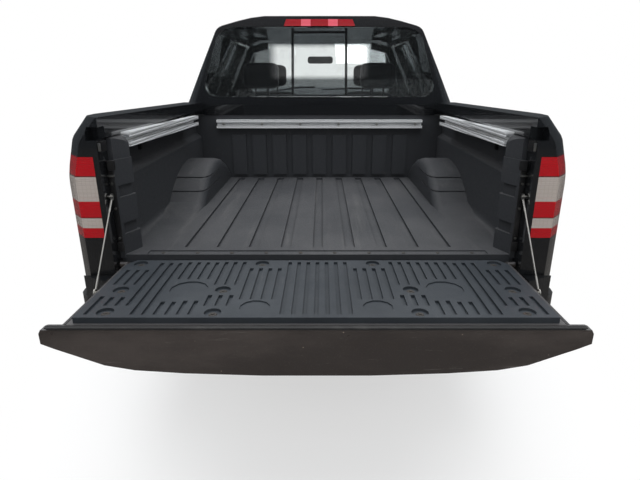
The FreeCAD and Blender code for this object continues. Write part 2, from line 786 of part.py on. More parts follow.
def fused(shapes):
    """Shapes joined into one, with the seams between flat faces taken out."""
    shapes = list(shapes)
    return shapes[0].fuse(shapes[1:]).removeSplitter() if len(shapes) > 1 else shapes[0]


def cut(shape, tools):
    return shape.cut(list(tools))


def solids_of(shape):
    """The solids of a shape, without the scraps that a cut can leave."""
    return [s for s in shape.Solids if s.Volume > SCRAP_VOLUME]


def main_solid(shape):
    return max(shape.Solids, key=lambda s: s.Volume)


def save(name, shapes):
    """Writes one sub-part, made of one or more solids."""
    solids = [s for shape in shapes for s in solids_of(shape)]
    whole = solids[0] if len(solids) == 1 else Part.makeCompound(solids)
    whole.exportStep(os.path.join("parts", name + ".step"))
    print(f"{name}: {len(solids)} solids, {len(whole.Faces)} faces, {whole.Volume / 1e6:.2f} litres")


def station(distance):
    """The place along the truck of a distance forward of the bed's rear face."""
    return BED_REAR_Y + distance


# Cab


def side_points(top):
    """The right side's points from the sill up to the belt line, then the points given."""
    return [
        (SILL_HALF_WIDTH, SILL_Z, SILL_RADIUS),
        (BODY_HALF_WIDTH, LOWER_CREASE_Z, SIDE_RADIUS),
        (BODY_HALF_WIDTH, UPPER_CREASE_Z, SIDE_RADIUS),
        (BELT_HALF_WIDTH, BELT_Z, BELT_RADIUS),
        *top,
    ]


def cab_section():
    return Outline(
        mirrored(
            side_points(
                [
                    (BELT_HALF_WIDTH - SHOULDER_STEP, BELT_Z + SHOULDER_RISE, BELT_RADIUS),
                    (ROOF_RAIL_HALF_WIDTH, ROOF_RAIL_Z, ROOF_RAIL_RADIUS),
                    (ROOF_SHOULDER_HALF_WIDTH, ROOF_Z - ROOF_SHOULDER_DROP, ROOF_CROWN_RADIUS),
                    (ROOF_CROWN_HALF_WIDTH, ROOF_Z + ROOF_CROWN_PROUD, ROOF_CROWN_RADIUS),
                ]
            )
        )
    )


def cab_profile():
    """The cab from the side, over-long at its windscreen and rear window, which bowed_block trims."""
    return Outline(
        [
            (CAB_REAR_Y, SILL_Z),
            (CAB_REAR_Y, ROOF_Z - ROOF_REAR_DROP * 2),
            (CAB_REAR_Y + ROOF_REAR_RUN, ROOF_Z - ROOF_REAR_DROP / 4, ROOF_CROWN_RADIUS),
            (CAB_REAR_Y + ROOF_FRONT_RUN, ROOF_Z, ROOF_CROWN_RADIUS),
            (COWL_Y - SCREEN_RUN, ROOF_Z - ROOF_FRONT_DROP, ROOF_CROWN_RADIUS),
            (COWL_Y, ROOF_Z - 2 * ROOF_FRONT_DROP),
            (COWL_Y, COWL_Z - COWL_SHELF),
            (FIREWALL_Y, COWL_Z - COWL_SHELF),
            (FIREWALL_Y, SILL_Z),
        ]
    )


def bowed_block(front, back, bow, base_z, top_z, lean, inset=0):
    """A block whose front face is bowed across the truck and leans by lean for each unit of height.

    front is where the middle of the face crosses base_z. A back ahead of front makes it face the rear.
    """
    way = math.copysign(1, front - back)
    slant = math.hypot(1, lean)
    face = front - way * inset * slant
    corners = [Vector(WIDE, back, base_z), Vector(-WIDE, back, base_z)]
    for i in range(-BOW_CHORDS, BOW_CHORDS + 1):
        share = i / BOW_CHORDS
        corners.append(Vector(WIDE * share, face - way * bow * min((2 * share) ** 2, 1), base_z))
    rise = top_z - base_z
    return flat(corners).extrude(Vector(0, lean * rise, rise))


def screen_block(inset=0):
    base_z = CAB_UNDER_Z
    crossing = COWL_Y - SCREEN_LEAN * (COWL_Z - base_z)
    return bowed_block(crossing, CAB_REAR_Y - WIDE - WIDE, SCREEN_BOW, base_z, ROOF_Z + WIDE / 4, SCREEN_LEAN, inset)


def rear_block(inset=0):
    crossing = CAB_REAR_Y - REAR_LEAN * (REAR_LEAN_FROM_Z - SILL_Z)
    return bowed_block(crossing, COWL_Y + WIDE, REAR_BOW, SILL_Z, ROOF_Z + WIDE / 4, REAR_LEAN, inset)


def corner_block(inset=0):
    """A block that draws in the cab's right rear corner, more so towards the roof."""
    low, high = SILL_Z - CUT_OVERRUN, ROOF_Z + CUT_OVERRUN
    below = REAR_LEAN_FROM_Z - low
    base = CAB_REAR_Y - REAR_LEAN * below
    points = [(BODY_HALF_WIDTH - tuck + CORNER_LEAN * below, base + run) for tuck, run in CORNER_STEPS]
    outline = Outline(
        [
            (-WIDE, base - WIDE),
            (points[0][0], base - WIDE),
            *points,
            (points[-1][0], COWL_Y + WIDE),
            (-WIDE, COWL_Y + WIDE),
        ]
    ).offset(inset)
    return outline.prism("z", low, high, Vector(-CORNER_LEAN, REAR_LEAN, 0) * (high - low))


def cab_envelope(inset=0):
    section = cab_section().offset(inset).prism("y", CAB_REAR_Y - CUT_OVERRUN, COWL_Y + WIDE)
    profile = cab_profile().offset(inset).prism("x", -WIDE, WIDE)
    lower = box(-WIDE, WIDE, CAB_REAR_Y - WIDE, COWL_Y + WIDE, SILL_Z - CUT_OVERRUN, CAB_UNDER_Z)
    front = screen_block(inset).fuse(lower)
    whole = section.common(profile).common(front).common(rear_block(inset))
    corner = corner_block(inset)
    return whole.common(corner).common(mirror_x(corner))


def layer(outer, inner):
    """The layer of the cab's side between two depths, long enough for any door."""
    a = cab_section().offset(outer).prism("y", CAB_REAR_Y - WIDE, NOSE_Y)
    b = cab_section().offset(inner).prism("y", CAB_REAR_Y - WIDE - CUT_OVERRUN, NOSE_Y + CUT_OVERRUN)
    return a.cut(b)


def screen_line(below, z):
    """The place along the truck, at height z, of a line that lies below the windscreen by a set distance."""
    return COWL_Y + SCREEN_LEAN * (z - COWL_Z) - below * math.hypot(1, SCREEN_LEAN)


def front_door_outline():
    half_gap = DOOR_GAP / 2
    edge_z = BELT_Z + SHOULDER_RISE / 2
    return Outline(
        [
            (B_LINE_Y + half_gap, DOOR_BOTTOM_Z, DOOR_CORNER_RADIUS),
            (DOOR_FRONT_Y, DOOR_BOTTOM_Z, DOOR_CORNER_RADIUS),
            (DOOR_FRONT_Y, edge_z, DOOR_CORNER_RADIUS),
            (screen_line(PILLAR_WIDTH, DOOR_TOP_Z), DOOR_TOP_Z, DOOR_CORNER_RADIUS),
            (B_LINE_Y + half_gap, DOOR_TOP_Z),
        ]
    )


def rear_door_outline():
    half_gap = DOOR_GAP / 2
    rear = CAB_REAR_Y + REAR_DOOR_INSET
    return Outline(
        [
            (rear, DOOR_BOTTOM_Z, DOOR_CORNER_RADIUS),
            (B_LINE_Y - half_gap, DOOR_BOTTOM_Z, DOOR_CORNER_RADIUS),
            (B_LINE_Y - half_gap, DOOR_TOP_Z),
            (rear + REAR_DOOR_LEAN, DOOR_TOP_Z, DOOR_CORNER_RADIUS),
            (rear, BELT_Z + SHOULDER_RISE, DOOR_CORNER_RADIUS * 2),
        ]
    )


def front_window_outline():
    sill, top = BELT_Z + WINDOW_SILL_RISE, DOOR_TOP_Z - WINDOW_TOP_FRAME
    front = DOOR_FRONT_Y - MIRROR_SAIL
    slant = PILLAR_WIDTH + WINDOW_FRAME
    join_z = COWL_Z + (front - COWL_Y + slant * math.hypot(1, SCREEN_LEAN)) / SCREEN_LEAN
    return Outline(
        [
            (B_LINE_Y + WINDOW_FRAME, sill, WINDOW_RADIUS),
            (front, sill, WINDOW_RADIUS),
            (front, max(join_z, sill + WINDOW_RADIUS), WINDOW_RADIUS),
            (screen_line(slant, top), top, WINDOW_RADIUS),
            (B_LINE_Y + WINDOW_FRAME, top, WINDOW_RADIUS),
        ]
    )


def rear_window_outline():
    sill, top = BELT_Z + WINDOW_SILL_RISE, DOOR_TOP_Z - WINDOW_TOP_FRAME
    rear = CAB_REAR_Y + REAR_DOOR_INSET + WINDOW_FRAME
    return Outline(
        [
            (rear + WINDOW_FRAME / 2, sill, WINDOW_RADIUS),
            (B_LINE_Y - WINDOW_FRAME, sill, WINDOW_RADIUS),
            (B_LINE_Y - WINDOW_FRAME, top, WINDOW_RADIUS),
            (rear + REAR_DOOR_LEAN, top, WINDOW_RADIUS),
        ]
    )


def side_prism(outline, beyond=0):
    """A door's outline drawn inwards from outside the skin and forward by a share of the way, past its reach if set."""
    reach = BODY_HALF_WIDTH + CUT_OVERRUN
    inner = DOOR_REACH_X - beyond
    return outline.prism("x", reach, inner, Vector(0, DOOR_LEAN * (reach - inner), 0))


def screen_outline(inset=0):
    return Outline(
        mirrored(
            [
                (SCREEN_BASE_HALF_WIDTH, COWL_Z + SCREEN_BASE_RISE, SCREEN_CORNER_RADIUS),
                (SCREEN_TOP_HALF_WIDTH, ROOF_Z - SCREEN_TOP_BELOW_ROOF, SCREEN_CORNER_RADIUS),
            ]
        )
    ).offset(inset)


def rear_glass_outline(inset=0):
    return Outline(
        mirrored(
            [
                (REAR_GLASS_BASE_HALF_WIDTH, REAR_GLASS_BASE_Z, REAR_GLASS_CORNER_RADIUS),
                (REAR_GLASS_TOP_HALF_WIDTH, ROOF_Z - REAR_GLASS_TOP_BELOW_ROOF, REAR_GLASS_TOP_RADIUS),
            ]
        )
    ).offset(inset)


CAB_MIDDLE_Y = (CAB_REAR_Y + COWL_Y) / 2


def brake_lamp_room(margin=0):
    top = ROOF_Z - BRAKE_LAMP_BELOW_ROOF + BRAKE_LAMP_HEIGHT
    low = top - BRAKE_LAMP_HEIGHT
    outline = Outline(mirrored([(BRAKE_LAMP_HALF_WIDTH + BRAKE_LAMP_FLARE, low), (BRAKE_LAMP_HALF_WIDTH, top)]))
    depth = REAR_LEAN_RUN + BRAKE_LAMP_DEPTH
    return outline.offset(-margin).prism("y", CAB_REAR_Y - CUT_OVERRUN, CAB_REAR_Y + depth)


def b_pillars():
    outer = BODY_WALL + B_PILLAR_CLEARANCE
    y0 = B_LINE_Y + B_PILLAR_AHEAD - B_PILLAR_WIDTH / 2
    band = layer(outer, outer + B_PILLAR_DEPTH)
    post = band.common(box(ROOF_SHOULDER_HALF_WIDTH, WIDE, y0, y0 + B_PILLAR_WIDTH, CAB_FLOOR_Z - CUT_OVERRUN, ROOF_RAIL_Z))
    head_band = layer(BODY_WALL / 2, outer + B_PILLAR_DEPTH)
    head_z = DOOR_TOP_Z + DOOR_GAP
    head = head_band.common(box(ROOF_SHOULDER_HALF_WIDTH, WIDE, y0, y0 + B_PILLAR_WIDTH, head_z, ROOF_Z))
    return both_sides(fused([post, head]))


def cab():
    shell = cab_envelope().cut(cab_envelope(BODY_WALL).common(box(-WIDE, WIDE, -WIDE * 2, WIDE * 2, CAB_FLOOR_Z, ROOF_Z)))
    under = box(-SILL_INNER_HALF_WIDTH, SILL_INNER_HALF_WIDTH, CAB_REAR_Y - CUT_OVERRUN, NOSE_Y, SILL_Z - CUT_OVERRUN, CAB_UNDER_Z)
    ahead = [
        box(x0, x1, DOOR_FRONT_Y + DOOR_GAP, NOSE_Y, SILL_Z - CUT_OVERRUN, COWL_Z + SCREEN_BASE_RISE)
        for x0, x1 in ((FRONT_CAB_HALF_WIDTH, WIDE), (-WIDE, -FRONT_CAB_HALF_WIDTH))
    ]
    arch = arch_round(FRONT_AXLE_Y, ARCH_RADIUS + PANEL_GAP)
    shell = cut(shell, [under, arch, *ahead])
    screen = screen_outline().prism("y", CAB_MIDDLE_Y + WIDE / 8, NOSE_Y)
    rear = rear_glass_outline().prism("y", CAB_REAR_Y - CUT_OVERRUN, CAB_MIDDLE_Y)
    shell = cut(shell, [screen, rear, brake_lamp_room(RUNNING_GAP)])
    seat_depth = cab_section().offset(BODY_WALL + DOOR_SEAT_CLEARANCE).prism("y", CAB_REAR_Y - WIDE, NOSE_Y)
    for outline in (front_door_outline(), rear_door_outline()):
        tool = side_prism(outline.offset(-DOOR_GAP), 2 * DOOR_SEAT_CLEARANCE).cut(seat_depth)
        shell = cut(shell, both_sides(tool))
    return fused([main_solid(shell), *b_pillars(), *both_sides(hood_hinge_bracket())])


def door(outline, window):
    panel = layer(0, BODY_WALL).common(side_prism(outline))
    return main_solid(panel.cut(side_prism(window)))


def door_glass(window):
    pane = layer(GLASS_SINK, GLASS_SINK + SIDE_GLASS)
    return main_solid(pane.common(side_prism(window.offset(GLASS_GAP))))


def mirror():
    """A right door mirror: a rounded head on a short arm from the door's front corner."""
    y0 = DOOR_FRONT_Y - MIRROR_SETBACK
    x0 = BELT_HALF_WIDTH + MIRROR_GAP
    head = Outline(
        [
            (x0, MIRROR_BASE_Z, MIRROR_RADIUS),
            (x0 + MIRROR_WIDTH, MIRROR_BASE_Z + MIRROR_RADIUS, MIRROR_RADIUS * 2),
            (x0 + MIRROR_WIDTH, MIRROR_BASE_Z + MIRROR_HEIGHT, MIRROR_RADIUS * 2),
            (x0, MIRROR_BASE_Z + MIRROR_HEIGHT, MIRROR_RADIUS),
        ]
    ).prism("y", y0, y0 + MIRROR_DEPTH)
    plan = Outline(
        [
            (x0 - CUT_OVERRUN, y0),
            (x0 + MIRROR_WIDTH, y0),
            (x0 + MIRROR_WIDTH, y0 + MIRROR_DEPTH / 2, MIRROR_RADIUS),
            (x0 + MIRROR_WIDTH / 3, y0 + MIRROR_DEPTH, MIRROR_RADIUS),
            (x0 - CUT_OVERRUN, y0 + MIRROR_DEPTH, 0),
        ]
    ).prism("z", MIRROR_BASE_Z - CUT_OVERRUN, MIRROR_BASE_Z + MIRROR_HEIGHT + CUT_OVERRUN)
    arm = box(
        BELT_HALF_WIDTH - 2 * SHOULDER_STEP,
        x0 + CUT_OVERRUN,
        y0 + MIRROR_DEPTH / 4,
        y0 + MIRROR_DEPTH / 4 + MIRROR_ARM,
        MIRROR_BASE_Z - SHOULDER_RISE,
        MIRROR_BASE_Z + MIRROR_ARM,
    )
    skin = cab_section().offset(-RUNNING_GAP).prism("y", CAB_REAR_Y, NOSE_Y)
    return main_solid(fused([head.common(plan), arm]).cut(skin))


def windscreen():
    slab = screen_block(GLASS_SINK).cut(screen_block(GLASS_SINK + SCREEN_GLASS))
    return main_solid(slab.common(screen_outline(GLASS_GAP).prism("y", CAB_MIDDLE_Y + WIDE / 8, NOSE_Y)))


def rear_window():
    """The rear window in three panes: two fixed, and a sliding one that sits in behind them."""
    outline = rear_glass_outline(GLASS_GAP).prism("y", CAB_REAR_Y - CUT_OVERRUN, CAB_MIDDLE_Y)
    back, front = CAB_REAR_Y - CUT_OVERRUN, CAB_MIDDLE_Y
    slider_half = SLIDER_HALF_WIDTH + SLIDER_FRAME
    panes = []
    for x0, x1, sink in ((-WIDE, -SLIDER_HALF_WIDTH, 0), (-slider_half, slider_half, SCREEN_GLASS), (SLIDER_HALF_WIDTH, WIDE, 0)):
        depth = GLASS_SINK + sink
        slab = rear_block(depth).cut(rear_block(depth + SCREEN_GLASS))
        panes.append(main_solid(slab.common(outline).common(box(x0, x1, back, front, 0, ROOF_Z))))
    return fused(panes)


def brake_lamp():
    proud = rear_block(-BRAKE_LAMP_PROUD).cut(rear_block(BODY_WALL / 2))
    return main_solid(proud.common(brake_lamp_room()).common(cab_envelope(-BRAKE_LAMP_PROUD)))


# Front body


def shoulder_fall(y):
    """How far the line of the hood and fenders has come down at a place ahead of the front door."""
    return SHOULDER_FALL * (y - DOOR_FRONT_Y) / (NOSE_Y - DOOR_FRONT_Y)


def hood_section():
    shoulder = BELT_Z - FENDER_SHOULDER_DROP
    return Outline(
        mirrored(
            [
                (BODY_HALF_WIDTH + CUT_OVERRUN, SILL_Z - SHOULDER_FALL),
                (BODY_HALF_WIDTH + CUT_OVERRUN, shoulder - SHOULDER_RISE),
                (BELT_HALF_WIDTH - SHOULDER_STEP, shoulder, SHOULDER_RADIUS),
                (HOOD_REAR_HALF_WIDTH, shoulder + HOOD_EDGE_RISE, HOOD_EDGE_RADIUS),
                (HOOD_RIDGE_HALF_WIDTH, shoulder + HOOD_CROWN_RISE, HOOD_CROWN_RADIUS),
            ]
        )
    )


def nose_plan():
    side = BODY_HALF_WIDTH + CUT_OVERRUN
    return Outline(
        mirrored(
            [
                (side, DOOR_FRONT_Y - WIDE),
                (side, NOSE_Y - NOSE_TAPER_RUN, NOSE_TAPER_RADIUS),
                (NOSE_HALF_WIDTH, NOSE_Y - NOSE_CORNER_RUN, NOSE_CORNER_RADIUS),
                (NOSE_CORNER_HALF_WIDTH, NOSE_Y - NOSE_CORNER_SETBACK, NOSE_CORNER_RADIUS),
                (NOSE_FLAT_HALF_WIDTH, NOSE_Y + NOSE_FLAT_PROUD, NOSE_FLAT_RADIUS),
            ]
        )
    )


def nose_profile():
    return Outline(
        [
            (DOOR_FRONT_Y - WIDE, BUMPER_BOTTOM_Z),
            (NOSE_Y - NOSE_CHIN_SETBACK, BUMPER_BOTTOM_Z, NOSE_CHIN_RADIUS),
            (NOSE_Y, NOSE_CHIN_Z, NOSE_CHIN_RADIUS),
            (NOSE_Y, NOSE_BREAK_Z, NOSE_TOP_RADIUS),
            (NOSE_Y - NOSE_TOP_SETBACK, BELT_Z + HOOD_CROWN_RISE - SHOULDER_FALL, NOSE_TOP_RADIUS),
            (NOSE_Y - NOSE_TAPER_RUN, BELT_Z + BELT_Z - SILL_Z),
            (DOOR_FRONT_Y - WIDE, BELT_Z + BELT_Z - SILL_Z),
        ]
    )


def front_envelope(inset=0):
    """The whole front of the body as one solid, moved inwards by inset."""
    low, high = DOOR_FRONT_Y - CUT_OVERRUN, NOSE_Y + CUT_OVERRUN
    sides = Outline(mirrored(side_points([(BELT_HALF_WIDTH - SHOULDER_STEP, ROOF_Z)])))
    body = sides.offset(inset).prism("y", low, high)
    start, end = low - CUT_OVERRUN, high + CUT_OVERRUN
    fall = Vector(0, 0, shoulder_fall(start) - shoulder_fall(end))
    top = hood_section().offset(inset).prism("y", start, end, fall)
    top.translate(Vector(0, 0, -shoulder_fall(start)))
    plan = nose_plan().offset(inset).prism("z", 0, ROOF_Z)
    nose = nose_profile().offset(inset).prism("x", -WIDE, WIDE)
    return body.common(nose).common(top).common(plan)


def hood_plan(gap=0):
    rear, front = COWL_Y + HOOD_REAR_SETBACK, NOSE_Y + CUT_OVERRUN
    return Outline(
        mirrored([(HOOD_REAR_HALF_WIDTH, rear), (HOOD_NOSE_HALF_WIDTH, front)])
    ).offset(-gap)


def hood_hinge():
    """Where the hood's hinge axis is: (y, z)."""
    y = COWL_Y + HOOD_REAR_SETBACK + HOOD_HINGE_INSET
    return y, BELT_Z - FENDER_SHOULDER_DROP + HOOD_EDGE_RISE - shoulder_fall(y) - HOOD_HINGE_SINK


def hood_hinge_bracket():
    """The right bracket on the cab that takes the hood's hinge pin: an eye on an arm that stays below the hood."""
    y, z = hood_hinge()
    x0 = HOOD_LUG_X + HOOD_LUG_WIDTH + HOOD_LUG_GAP
    arm_top = z - HOOD_ARM_DROP
    arm = Outline(
        [
            (COWL_Y - BODY_WALL, arm_top - HOOD_ARM_HEIGHT),
            (y, z - HOOD_LUG_RADIUS),
            (y - HOOD_LUG_RADIUS / 2, z),
            (y - 2 * HOOD_LUG_RADIUS, arm_top),
            (COWL_Y - BODY_WALL, arm_top),
        ]
    ).prism("x", x0, x0 + HOOD_LUG_WIDTH)
    eye = faceted("x", (x0, y, z), HOOD_LUG_RADIUS, HOOD_LUG_WIDTH, MOUNT_SIDES)
    hole_x = x0 - CUT_OVERRUN
    radius = HOOD_PIN_RADIUS + HOOD_PIN_CLEARANCE
    hole = faceted("x", (hole_x, y, z), radius, 2 * CUT_OVERRUN + HOOD_LUG_WIDTH, MOUNT_SIDES)
    return fused([arm, eye]).cut(hole)


def hood():
    skin = front_envelope().cut(front_envelope(HOOD_SKIN))
    piece = skin.common(hood_plan().prism("z", grille_top() + PANEL_GAP, ROOF_Z))
    lamp = headlamp_outline(-PANEL_GAP).prism("x", 0, WIDE)
    piece = main_solid(cut(piece, both_sides(lamp)))
    y, z = hood_hinge()
    top = z + HOOD_HINGE_SINK - HOOD_SKIN / 2
    lug = box(HOOD_LUG_X, HOOD_LUG_X + HOOD_LUG_WIDTH, y - HOOD_LUG_WIDTH, y + HOOD_LUG_WIDTH, z - HOOD_LUG_WIDTH, top)
    pin = faceted("x", (HOOD_LUG_X, y, z), HOOD_PIN_RADIUS, 2 * HOOD_LUG_WIDTH + HOOD_LUG_GAP, MOUNT_SIDES)
    return fused([piece, *both_sides(lug), *both_sides(pin)])


def headlamp_outline(inset=0):
    """The right headlamp from the side, with its rear end drawn to a slope."""
    base = BUMPER_SPLIT_Z + PANEL_GAP
    rear = NOSE_Y - NOSE_CORNER_RUN
    return Outline(
        [
            (rear + HEADLAMP_RISE, base),
            (NOSE_Y + CUT_OVERRUN, base),
            (NOSE_Y + CUT_OVERRUN, base + HEADLAMP_HEIGHT),
            (rear - HEADLAMP_RISE / 2, base + HEADLAMP_HEIGHT + HEADLAMP_RISE / 2),
        ]
    ).offset(inset)


def grille_top():
    return BELT_Z - SHOULDER_FALL - GRILLE_TOP_DROP


def grille_outline(inset=0):
    top = grille_top()
    return Outline(
        mirrored([(GRILLE_HALF_WIDTH - GRILLE_RADIUS, GRILLE_BASE_Z, GRILLE_RADIUS), (GRILLE_HALF_WIDTH, top, GRILLE_RADIUS)])
    ).offset(inset)


def arch_round(y, radius):
    """A round bar right across the truck about a wheel's axle."""
    return faceted("x", (-WIDE, y, TYRE_RADIUS), radius, 2 * WIDE, ARCH_SIDES)


def headlamp():
    skin = front_envelope().cut(front_envelope(BUMPER_WALL))
    piece = skin.common(headlamp_outline().prism("x", GRILLE_HALF_WIDTH + PANEL_GAP, WIDE))
    return main_solid(piece)


def fender():
    """The right front fender, down to the sill behind the wheel and to the bumper ahead of it."""
    skin = front_envelope().cut(front_envelope(FRONT_WALL))
    half = box(NOSE_CORNER_HALF_WIDTH / 2, WIDE, DOOR_FRONT_Y + DOOR_GAP, NOSE_Y, SILL_Z, ROOF_Z)
    bumper = box(0, WIDE, NOSE_Y - BUMPER_REAR_SETBACK - PANEL_GAP, NOSE_Y, 0, BUMPER_SPLIT_Z + PANEL_GAP)
    lamp = headlamp_outline(-RUNNING_GAP).prism("x", 0, WIDE)
    door_tool = side_prism(front_door_outline().offset(-DOOR_GAP))
    hood_tool = hood_plan(PANEL_GAP).prism("z", 0, ROOF_Z)
    inner = box(0, HOOD_NOSE_HALF_WIDTH, COWL_Y + HOOD_REAR_SETBACK, NOSE_Y, 0, ROOF_Z)
    behind = box(0, FRONT_CAB_HALF_WIDTH + PANEL_GAP, DOOR_FRONT_Y, COWL_Y + HOOD_REAR_SETBACK - PANEL_GAP, 0, ROOF_Z)
    return main_solid(cut(skin.common(half), [bumper, lamp, door_tool, hood_tool, inner, behind, arch_round(FRONT_AXLE_Y, ARCH_RADIUS)]))


def grille():
    """The grille: a frame with cross bars, set into the nose."""
    skin = front_envelope().cut(front_envelope(GRILLE_DEPTH))
    whole = skin.common(grille_outline().prism("y", NOSE_Y - NOSE_CORNER_RUN, NOSE_Y + CUT_OVERRUN))
    inner = grille_outline(GRILLE_FRAME)
    low, high = inner.points[0][1], inner.points[1][1]
    pitch = (high - low) / (GRILLE_BARS + 1)
    holes = [inner.prism("y", NOSE_Y - NOSE_CORNER_RUN, NOSE_Y + CUT_OVERRUN)]
    bars = []
    for i in range(GRILLE_BARS):
        z0 = low + pitch * (i + 1) - GRILLE_BAR_HEIGHT / 2
        bars.append(whole.common(box(-WIDE, WIDE, NOSE_Y - WIDE, NOSE_Y + WIDE, z0, z0 + GRILLE_BAR_HEIGHT)))
    return fused([main_solid(whole.cut(holes[0])), *bars])


def front_bumper():
    skin = front_envelope().cut(front_envelope(BUMPER_WALL))
    piece = skin.common(box(-WIDE, WIDE, NOSE_Y - BUMPER_REAR_SETBACK, NOSE_Y + CUT_OVERRUN, 0, BUMPER_SPLIT_Z))
    intake = Outline(
        mirrored([(INTAKE_HALF_WIDTH, INTAKE_BASE_Z, GRILLE_RADIUS), (INTAKE_HALF_WIDTH, INTAKE_BASE_Z + INTAKE_HEIGHT, GRILLE_RADIUS)])
    ).prism("y", NOSE_Y - NOSE_CORNER_RUN, NOSE_Y + CUT_OVERRUN)
    opening = grille_outline(-RUNNING_GAP).prism("y", NOSE_Y - NOSE_CORNER_RUN, NOSE_Y + CUT_OVERRUN)
    fog = Outline(
        [
            (FOG_CENTRE_X - FOG_HALF_WIDTH, FOG_CENTRE_Z - FOG_HALF_WIDTH, GRILLE_RADIUS),
            (FOG_CENTRE_X + FOG_HALF_WIDTH, FOG_CENTRE_Z - FOG_HALF_WIDTH, GRILLE_RADIUS),
            (FOG_CENTRE_X + FOG_HALF_WIDTH, FOG_CENTRE_Z + FOG_HALF_WIDTH, GRILLE_RADIUS),
            (FOG_CENTRE_X - FOG_HALF_WIDTH, FOG_CENTRE_Z + FOG_HALF_WIDTH, GRILLE_RADIUS),
        ]
    ).prism("y", NOSE_Y - NOSE_CORNER_RUN, NOSE_Y + CUT_OVERRUN)
    pocket = fog.cut(front_envelope(FOG_DEPTH))
    reach = SILL_HALF_WIDTH - BODY_WALL
    back = NOSE_Y - NOSE_CHIN_SETBACK - 2 * BUMPER_WALL
    floor = box(-reach, reach, NOSE_Y - BUMPER_REAR_SETBACK - CUT_OVERRUN, back, 0, INTAKE_BASE_Z)
    piece = cut(piece, [intake, opening, *both_sides(pocket), arch_round(FRONT_AXLE_Y, ARCH_RADIUS), floor])
    arms = [
        box(x0, x0 + RAIL_WIDTH, NOSE_Y - RAIL_FRONT_SETBACK + RUNNING_GAP, NOSE_Y - BUMPER_WALL - NOSE_CORNER_SETBACK / 2, RAIL_FRONT_UNDER_Z, INTAKE_BASE_Z)
        for x0 in (RAIL_OUTER_X - RAIL_WIDTH, -RAIL_OUTER_X)
    ]
    return fused([main_solid(piece), *[a.common(front_envelope(BUMPER_WALL / 2)) for a in arms]])


# Bed


def bed_cavity(margin=0, under=0):
    """The load space across the truck, made wider by margin and deeper by under."""
    return Outline(
        mirrored(
            [
                (BED_LOWER_HALF_WIDTH + margin, BED_FLOOR_Z - under, BED_CORNER_RADIUS),
                (BED_LOWER_HALF_WIDTH + margin, BED_LEDGE_Z, BED_CORNER_RADIUS / 3),
                (BED_INSIDE_HALF_WIDTH + margin, BED_LEDGE_Z + BED_LEDGE_RISE, BED_CORNER_RADIUS / 3),
                (BED_INSIDE_HALF_WIDTH + margin, BED_WALL_TOP_Z),
            ]
        )
    )


def wheelhouse_profile(inset=0):
    """The wheelhouse from the side: a ramp, an arc about the axle and its fall to the front wall."""
    front = BED_FRONT_Y + 2 * WHEELHOUSE_FILLET
    low = BED_FLOOR_Z - BED_FLOOR - 2 * WHEELHOUSE_FILLET
    begin = math.acos(min((station(BED_INSIDE_LENGTH) - REAR_AXLE_Y) / WHEELHOUSE_RADIUS, 1))
    end = math.pi - math.asin((BED_FLOOR_Z + WHEELHOUSE_RAMP_RISE - TYRE_RADIUS) / WHEELHOUSE_RADIUS)
    arc = []
    for i in range(ARC_CHORDS + 1):
        angle = begin + (end - begin) * i / ARC_CHORDS
        arc.append((REAR_AXLE_Y + WHEELHOUSE_RADIUS * math.cos(angle), TYRE_RADIUS + WHEELHOUSE_RADIUS * math.sin(angle)))
    start = station(WHEELHOUSE_START)
    return Outline([(start, low), (front, low), (front, arc[0][1]), *arc, (start, BED_FLOOR_Z)]).offset(inset)


def wheelhouse(inset=0):
    """The right wheelhouse, with its upper inner edge rounded over."""
    face = WHEELHOUSE_HALF_GAP + inset
    rings = []
    for i in range(FILLET_CHORDS + 1):
        angle = math.pi / 2 * i / FILLET_CHORDS
        x = face + WHEELHOUSE_FILLET * (1 - math.cos(angle))
        rings.append(wheelhouse_profile(inset + WHEELHOUSE_FILLET * (1 - math.sin(angle))).ring("x", x))
    rings.append(wheelhouse_profile(inset).ring("x", BED_INSIDE_HALF_WIDTH + BED_WALL))
    return through(rings)


def wheelhouse_creases():
    """The shallow level grooves across the back of the right wheelhouse."""
    skin = wheelhouse().cut(wheelhouse(CREASE_DEPTH))
    grooves = []
    for rise in WHEELHOUSE_CREASES:
        z0 = BED_FLOOR_Z + rise
        grooves.append(skin.common(box(0, WIDE, station(WHEELHOUSE_START), REAR_AXLE_Y, z0, z0 + CREASE_WIDTH)))
    return grooves


def post():
    """The right rear post of the bed, with the two bands that hold cross boards and its domed top."""
    base = BED_FLOOR_Z - BED_WALL
    outer = BED_LOWER_HALF_WIDTH + BED_WALL
    plan = Outline(
        [
            (POST_REAR_X, station(POST_START)),
            (outer, station(POST_START)),
            (outer, station(POST_END_S)),
            (POST_FRONT_X, station(POST_BREAK_S), POST_EDGE_RADIUS),
        ]
    )
    body = plan.prism("z", base, POST_LEDGE_Z)
    knob = plan.offset(POST_KNOB_STEP).prism("z", POST_LEDGE_Z - CUT_OVERRUN, POST_TOP_Z)
    dome = Outline(
        [
            (POST_FRONT_X - POST_KNOB_RADIUS, base),
            (WIDE, base),
            (WIDE, POST_TOP_Z),
            (POST_FRONT_X + POST_KNOB_STEP, POST_TOP_Z, POST_KNOB_RADIUS),
            (POST_FRONT_X + POST_KNOB_STEP, POST_LEDGE_Z - CUT_OVERRUN),
            (POST_FRONT_X - POST_KNOB_RADIUS, POST_LEDGE_Z - CUT_OVERRUN),
        ]
    ).prism("y", station(0), station(BED_LENGTH))
    flange = box(
        POST_REAR_X, OPENING_HALF_WIDTH - RUNNING_GAP, station(POST_FLANGE_S), station(POST_START) + BED_WALL, base, POST_LEDGE_Z
    )
    bands = []
    for z0, z1 in POST_BANDS:
        bands.append(plan.prism("z", z0, z1).cut(plan.offset(POST_GROOVE_DEPTH).prism("z", z0, z1)))
    within = bed_cavity(BED_WALL, BED_FLOOR).prism("y", station(0), BED_FRONT_Y)
    return fused([cut(fused([body, knob.common(dome)]), bands), flange]).common(within)


